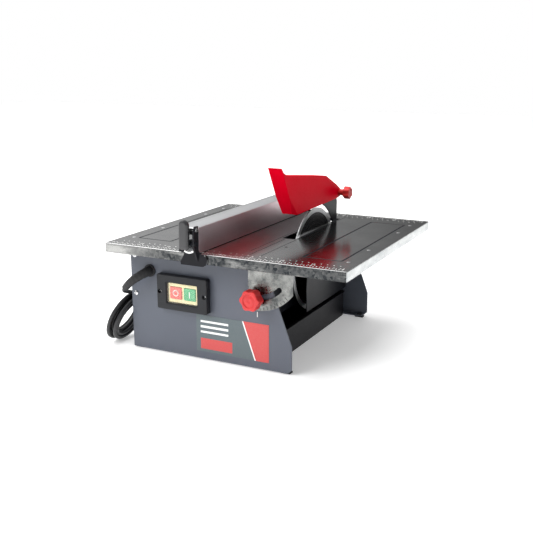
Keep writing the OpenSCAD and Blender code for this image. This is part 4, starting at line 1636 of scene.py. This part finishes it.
@dataclass
class Table(Maker):
    """The table: folded sheet, slot, beads, holes, rivets, stiffeners and edge scale."""

    width: float = 420
    depth: float = 410
    top: float = 186
    sheet: float = 2
    rim: float = 170
    corner: float = 2.4
    fold: float = 4
    slot_low: Flat = (33, -46)
    slot_high: Flat = (56, 155)
    bead_x: Flat = (117, 182)
    bead_y: float = 152
    groove: float = 3
    groove_depth: float = 0.5
    lines: tuple[Box, ...] = (
        (39.4, -200, 40.6, -50), (58.6, -180, 59.8, 190), (28.6, -150, 29.6, 160),
    )
    line_depth: float = 0.35
    rivet_x: float = 191
    rivet_y: tuple[float, ...] = (-150, -64, 82, 150)
    holes: tuple[Flat, ...] = ((67.4, -103), (68, 168))
    hole: float = 2.5
    tick_half: float = 0.55
    tick_out: float = 6.5
    tick_in: Flat = (10.5, 15)
    tick_gap: float = 10
    ticks: int = 20
    dots: tuple[Flat, ...] = ((5, 7.4), (5, 13), (0, 26))
    number_in: float = 20
    print_height: float = 0.14

    def build(self) -> None:
        """Makes the table."""
        self.sheet_top()
        self.rework("under_channels", "table_stiffeners", Body.TABLE, Slot.GALVANISED, 0.4)
        self.rivets()
        self.scale()

    def sheet_top(self) -> None:
        """Folds the sheet, cuts its slot and holes, and presses its beads."""
        half_x, half_y, top = self.width / 2, self.depth / 2, self.top
        shape = rounded_box((-half_x, -half_y), (half_x, half_y), self.corner, 5)
        sheet = round_edges(prism("table_sheet", shape, Axis.Z, self.rim, top), 1.3, 4, 60)
        low = (self.sheet - half_x, self.sheet - half_y)
        high = (half_x - self.sheet, half_y - self.sheet)
        shape = rounded_box(low, high, self.corner - 1.2, 4)
        cut(sheet, prism("hollow", shape, Axis.Z, self.rim - 5, top - self.sheet))
        shape = rounded_box(self.slot_low, self.slot_high, 1.5)
        cut(sheet, prism("slot", shape, Axis.Z, top - 5, top + 5))
        for x, y in self.holes:
            cut(sheet, rod("hole", self.hole, (x, y, top), 12, Axis.Z, 32))
        for side in (-1, 1):
            cut(sheet, self.bead(side))
        for x0, y0, x1, y1 in self.lines:
            tool = block("line", (x0, y0, top - self.line_depth), (x1, y1, top + 1))
            cut(sheet, round_edges(tool, 0.1, 1))
        round_edges(sheet, 0.18, 2, 60)
        # Face finishes of the table sheet, with painted light and shade: the underside and the walls and
        # floors of the pressed beads, lines, slot and holes take the near-black dark coat as painted shade;
        # the rounded top edge takes a near-white metal as a painted highlight; the side flanges take a
        # painted light copy and the front and back flanges a painted shade copy of the galvanised finish.
        finishes = (Slot.TABLE_STEEL, PAINTED_SHADED_FLANGE, PAINTED_LIT_FLANGE, Slot.DARK_COAT, PAINTED_EDGE_HIGHLIGHT)

        def choose(centre: Vector, normal: Vector) -> int:
            """Picks the finish of a face of the table sheet."""
            if max(abs(centre.x) - half_x, abs(centre.y) - half_y) < -self.fold:
                # Painted shade: below the top face, inside the rim.
                return 0 if centre.z > top - 0.2 else 3
            if normal.z > 0.2 and centre.z > top - 3:
                # Painted highlight on the rounded top edge.
                return 0 if normal.z > 0.97 else 4
            # Painted light on the side flanges, painted shade on the front and back ones.
            return 2 if abs(normal.x) > 0.6 else 1

        dress_faces(sheet, [self.finishes[finish] for finish in finishes], choose)
        self.dress(shade(sheet, 35), Body.TABLE, Slot.TABLE_STEEL, "table_top")

    def bead(self, side: int) -> bpy.types.Object:
        """The tool that presses one rectangular bead."""
        low, high = sorted(side * x for x in self.bead_x)
        floor, g = self.top - self.groove_depth, self.groove
        outer = rounded_box((low, -self.bead_y), (high, self.bead_y), 4)
        inner = rounded_box((low + g, g - self.bead_y), (high - g, self.bead_y - g), 2.5)
        ring = prism("bead", outer, Axis.Z, floor, self.top + 1)
        return cut(ring, prism("core", inner, Axis.Z, floor - 2, self.top + 3))

    def rivets(self) -> None:
        """Makes the domed rivets."""
        profile = [(0, -6), (3.2, -6), (3.2, -4.4), (2, -4.2), (2, 0), (3.4, 0), (3.3, 0.2), (2.5, 0.42),
                   (1.2, 0.52), (0, 0.54)]
        places = [
            Matrix.Translation(metres((side * self.rivet_x, y, self.top)))
            for side in (-1, 1)
            for y in self.rivet_y
        ]
        made = placed(shade(lathe("rivet", profile, 28), 35), "rivets", places)
        self.dress(made, Body.TABLE, Slot.ZINC, "table_rivets")

    def scale(self) -> None:
        """Stamps the ruler along the front and the back edge: dots, ticks and numbers."""
        height, half = self.print_height, self.tick_half
        dot = lathe("dot", [(0, -0.05), (1, -0.05), (1, 0.08), (0.5, height), (0, height)], 8)
        short, long = [
            block(name, (-half, -self.tick_out, -0.05), (half, -inward, height))
            for name, inward in zip(("short_tick", "long_tick"), self.tick_in)
        ]
        dots, shorts, longs, marks = [], [], [], []
        for side in (-1, 1):
            turn = Matrix.Rotation(0 if side > 0 else math.pi, 4, "Z")
            upright = Matrix.Rotation(math.pi if side > 0 else 0, 4, "Z")
            edge = side * self.depth / 2
            for step in range(-self.ticks, self.ticks + 1):
                x = step * self.tick_gap
                major = step % 5 == 0
                line = Matrix.Translation(metres((x, edge, self.top))) @ turn
                (longs if major else shorts).append(line)
                for across, inward in self.dots:
                    if step < self.ticks and (across or not major):
                        place = (x + across, edge - side * inward, self.top)
                        dots.append(Matrix.Translation(metres(place)))
                if major and step % self.ticks:
                    number = numeral(str(abs(step)), 6.5, 0.07)
                    place = (x, edge - side * self.number_in, self.top + 0.05)
                    number.data.transform(Matrix.Translation(metres(place)) @ upright)
                    marks.append(number)
        marks += [placed(dot, "dots", dots), placed(short, "short_ticks", shorts)]
        ruler = gather("edge_scale", [*marks, placed(long, "long_ticks", longs)])
        self.dress(ruler, Body.TABLE, Slot.ZINC, finish=WHITE_PRINT)


@dataclass
class TiltGear(Maker):
    """The quadrants, their graduation, the clamping knobs and the pins."""

    pivot: Flat = (50, 174)
    radius: float = 76
    face: float = 172
    stud_z: float = 119
    seat: float = 172.4
    tick_in: Flat = (5, 7.5)
    number_radius: float = 64.5

    def build(self) -> None:
        """Makes the tilt hardware."""
        self.rework("front_quadrant", "tilt_bracket_front", Body.TABLE, Slot.GALVANISED, 0.3)
        self.rework("rear_quadrant", "tilt_bracket_rear", Body.TABLE, Slot.GALVANISED, 0.3)
        self.graduation("front_graduation", -1)
        self.graduation("rear_graduation", 1)
        for name, node, side, body in (
            ("front_clamp_knob", "tilt_knob_front", -1, Body.FRONT_KNOB),
            ("rear_clamp_knob", "tilt_knob_rear", 1, Body.REAR_KNOB),
        ):
            knob = LobedKnob(17, 14.6, 7.6, 25.1, hub=9, bore=4.05, recess=11, edge=1.8).build(name)
            knob.data.transform(facing(Axis.Y, side, (self.pivot[0], side * self.seat, self.stud_z)))
            self.dress(knob, body, Slot.KNOB_RED, node)
        self.rework("clamp_studs", "tilt_studs", Body.CHASSIS, Slot.ZINC, 0.4)
        self.rework("hinge_pins", "pivot_pins", Body.CHASSIS, Slot.ZINC, 0.5)

    def graduation(self, name: str, side: int) -> None:
        """Prints one quadrant's ticks, one every 5 degrees, and its numbers.

        Args:
            name: The piece's name.
            side: -1 for the front quadrant, 1 for the rear one.
        """
        marks = []
        for degrees in range(0, 50, 5):
            long = degrees % 15 == 0
            inner = self.radius - self.tick_in[long]
            tick = block("tick", (-0.4, 0.8 - self.radius, 0), (0.4, -inner, 0.1))
            tick.data.transform(self.on_plate(degrees, side))
            marks.append(tick)
            if long:
                number = numeral(str(degrees), 4.2, 0.05)
                flip = Matrix.Identity(4) if side < 0 else Matrix.Scale(-1, 4, (1, 0, 0))
                place = Matrix.Translation(metres((0, -self.number_radius, 0.05)))
                number.data.transform(self.on_plate(degrees, side) @ place @ flip)
                if side > 0:
                    number.data.flip_normals()
                marks.append(number)
        piece = gather(name, marks)
        face_out(piece)
        self.dress(piece, Body.TABLE, Slot.LABEL, finish=DARK_PRINT)

    def on_plate(self, degrees: float, side: int) -> Matrix:
        """The place of a mark drawn in X and Y about the pivot, turned along the quadrant."""
        x, z = self.pivot
        columns = Matrix(((1, 0, 0, 0), (0, 0, side, 0), (0, 1, 0, 0), (0, 0, 0, 1)))
        turn = Matrix.Rotation(math.radians(degrees), 4, "Z")
        return Matrix.Translation(metres((x, side * self.face, z))) @ columns @ turn


@dataclass
class Fence(Maker):
    """The sliding fence: rail, hooks, pins and clamping lever."""

    left: float = -65
    right: float = -31
    base: float = 186.8
    height: float = 40
    end: float = 205.5
    wall: float = 2
    side_slot: Flat = (14, 26)
    groove: float = 0.35
    groove_in: Flat = (4, 5)
    lever_x: Flat = (-55.7, -38.8)
    lever_z: Flat = (193.9, 240)
    lever_y: Flat = (-225.5, -216.5)
    pin: Flat = (-215, 203)
    notch_x: float = -47.2
    notch: float = 13.6
    bracket_face: float = -204
    lip_z: float = 200.5
    lip: Flat = (11.8, 14.8)
    lip_y: Flat = (-209.6, -208.3)
    lip_angles: Flat = (-125, 20)
    heel_top: float = 185

    def build(self) -> None:
        """Makes the fence."""
        self.rail()
        self.hooks()
        pins = round_edges(node_copy("lever_pins", "fence_pins"), 0.5, 3, 50)
        dress_faces(
            pins,
            [self.finishes[Slot.ZINC], self.finishes[Slot.DARK_COAT]],
            lambda centre, normal: int(centre.z < self.pin[1] + 8),
        )
        self.dress(shade(pins), Body.FENCE, Slot.ZINC, "fence_pins")
        self.lever()

    def rail(self) -> None:
        """Makes the extruded rail with two fine grooves along its top."""
        left, right, low, high = self.left, self.right, self.base, self.base + self.height
        wall, (below, above) = self.wall, self.side_slot
        top = []
        for x in (right - self.groove_in[0], left + self.groove_in[1]):
            floor = high - self.groove
            top += [(x + 0.5, high), (x + 0.2, floor), (x - 0.2, floor), (x - 0.5, high)]
        shape = [
            (left, low), (right, low), (right, high), *top, (left, high), (left, low + above),
            (left + wall, low + above), (left + wall, high - wall), (right - wall, high - wall),
            (right - wall, low + wall), (left + wall, low + wall), (left + wall, low + below),
            (left, low + below),
        ]
        rail = round_edges(prism("fence_extrusion", shape, Axis.Y, -self.end, self.end), 0.4, 3, 60)
        # The right-hand face takes the pinkish copy of the anodised finish, a painted reflection.
        dress_faces(
            rail,
            [self.finishes[Slot.ANODISED], self.finishes[PAINTED_REFLECTION_RAIL_SIDE]],
            lambda centre, normal: int(normal.x > 0.7 and centre.x > right - 0.5),
        )
        self.dress(shade(rail), Body.FENCE, Slot.ANODISED, "fence_rail")

    def hooks(self) -> None:
        """Makes both end hooks. The front one's notch rim and outer rim are given bright zinc as a painted
        highlight, and a bright crescent round its notch is a painted highlight too.
        """
        front = round_edges(node_copy("front_hook", "fence_bracket"), 0.5, 3, 50)

        def choose(centre: Vector, normal: Vector) -> int:
            """Picks the faces of the notch rim and of the heel that are painted bright as a highlight."""
            reach = math.hypot(centre.x - self.notch_x, centre.z - self.pin[1])
            heel = normal.x > 0.3 and centre.z < self.heel_top and centre.x > self.right
            painted_highlight = heel or abs(reach - self.notch) < 0.7
            return int(painted_highlight and centre.y < self.bracket_face)

        dress_faces(front, [self.finishes[Slot.BLACK_PLASTIC], self.finishes[Slot.ZINC]], choose)
        self.dress(shade(front), Body.FENCE, Slot.BLACK_PLASTIC, "fence_bracket")
        # Painted highlight: a thin near-white crescent in front of the notch stands for the light caught on
        # the notch's edge.
        inner, outer = self.lip
        start, stop = self.lip_angles
        middle = (self.notch_x, self.lip_z)
        crescent = [*arc(middle, outer, start, stop, 28), *arc(middle, inner, stop, start, 28)]
        lip = round_edges(prism("notch_lip", crescent, Axis.Y, *self.lip_y), 0.45, 3, 40)
        self.dress(shade(lip), Body.FENCE, Slot.ZINC, finish=PAINTED_EDGE_HIGHLIGHT)
        self.rework("rear_hook", "fence_rear_hook", Body.FENCE, Slot.BLACK_PLASTIC, 0.5, 3)

    def lever(self) -> None:
        """Makes the rounded clamping lever and its eye on the pin."""
        (x0, x1), (z0, z1) = self.lever_x, self.lever_z
        middle, half = (x0 + x1) / 2, (x1 - x0) / 2
        shape = [
            *arc((x1 - 4, z0 + 4), 4, -90, 0, 8),
            *arc((middle, z1 - half), half, 0, 180, 24),
            *arc((x0 + 4, z0 + 4), 4, 180, 270, 8),
        ]
        bar = round_edges(prism("clamp_lever", shape, Axis.Y, *self.lever_y), 3.9, 7, 60)
        y, z = self.pin
        bridge = block("bridge", (x0 + 0.6, self.lever_y[1] - 3, z - 5.6), (x1 - 0.6, y, z + 5.6))
        eye = rod("eye", 6, (middle, y, z), x1 - x0 - 0.4, Axis.X, 40)
        weld(bar, bridge, eye)
        cut(bar, rod("bore", 3.55, (middle, y, z), 40, Axis.X, 32))
        self.dress(shade(bar, 35), Body.LEVER, Slot.BLACK_PLASTIC, "cam_lever", finish=GRIP)


@dataclass
class Blade(Maker):
    """The disc and what carries it, the knife behind it and the plate beside it."""

    def build(self) -> None:
        """Finishes the blade's pieces."""
        self.keep("saw_blade", Slot.DISC_STEEL)
        for name, node, slot, body, edge in (
            ("cutting_rim", "blade_rim", Slot.DIAMOND_RIM, Body.SPINDLE, 0.3),
            ("inner_washer", "inner_flange", Slot.CAST_ALLOY, Body.SPINDLE, 0.5),
            ("outer_washer", "outer_flange", Slot.CAST_ALLOY, Body.SPINDLE, 0.5),
            ("spindle_nut", "arbor_nut", Slot.ZINC, Body.SPINDLE, 0.6),
            ("splitter", "riving_knife", Slot.DARK_COAT, Body.CHASSIS, 0.3),
            ("splitter_bracket", "knife_bracket", Slot.DARK_COAT, Body.CHASSIS, 0.6),
            ("splitter_bolts", "knife_bolts", Slot.ZINC, Body.CHASSIS, 0.5),
            ("splash_plate", "lower_blade_cover", Slot.DARK_COAT, Body.CHASSIS, 0.3),
        ):
            self.rework(name, node, body, slot, edge)


@dataclass
class Guard(Maker):
    """The folded red guard, its bolt, bushes and knob."""

    knob_place: Point = (62.3, 130, 240)

    def build(self) -> None:
        """Makes the guard."""
        hood = round_edges(node_copy("red_guard", "blade_guard"), 0.5, 3, 10)
        self.dress(shade(hood, 9), Body.GUARD, Slot.GUARD_RED, "blade_guard")
        self.rework("guard_screw", "guard_bolt", Body.GUARD, Slot.ZINC, 0.4)
        self.rework("spacer_bushes", "guard_bushes", Body.GUARD, Slot.BLACK_PLASTIC, 0.4)
        knob = LobedKnob(11.3, 9.2, 9.7, 21.7, hub=5.5, bore=2.55, recess=7.2, edge=1.5)
        piece = knob.build("guard_wing_knob")
        piece.data.transform(facing(Axis.X, 1, self.knob_place))
        self.dress(piece, Body.GUARD_KNOB, Slot.KNOB_RED, "guard_knob")


@dataclass
class Tray(Maker):
    """The water tray with its rolled rim and round corners."""

    low: Point = (-49, -154, 1)
    high: Point = (67, 154, 49)
    wall: float = 2
    lip_low: Flat = (-51, -156)
    lip_high: Flat = (70, 156)
    lip_height: float = 2

    def build(self) -> None:
        """Makes the tray."""
        (x0, y0, z0), (x1, y1, z1), w = self.low, self.high, self.wall
        tub = prism("drip_tray", rounded_box((x0, y0), (x1, y1), 5), Axis.Z, z0, z1)
        round_edges(tub, 1.2, 3, 60)
        lip = prism("lip", rounded_box(self.lip_low, self.lip_high, 6.5), Axis.Z, z1 - self.lip_height, z1)
        weld(tub, round_edges(lip, 0.6, 3, 60))
        well = rounded_box((x0 + w, y0 + w), (x1 - w, y1 - w), 3.5)
        cut(tub, prism("well", well, Axis.Z, z0 + w, z1 + 5))
        self.dress(shade(tub, 35), Body.TRAY, Slot.BLACK_PLASTIC, "water_tray")


def main() -> None:
    """Builds the studio and the machine in order, and reports each piece."""
    logging.basicConfig(level=logging.INFO, format="%(message)s")
    Studio().build()
    finishes = Finishes()
    for part in (MainsCord, Cabinet, Motor, Switch, Table, TiltGear, Fence, Blade, Guard, Tray):
        log.info("building %s", part.__name__)
        part(finishes).build()
    bpy.ops.object.select_all(action="DESELECT")


if __name__ == "__main__":
    main()
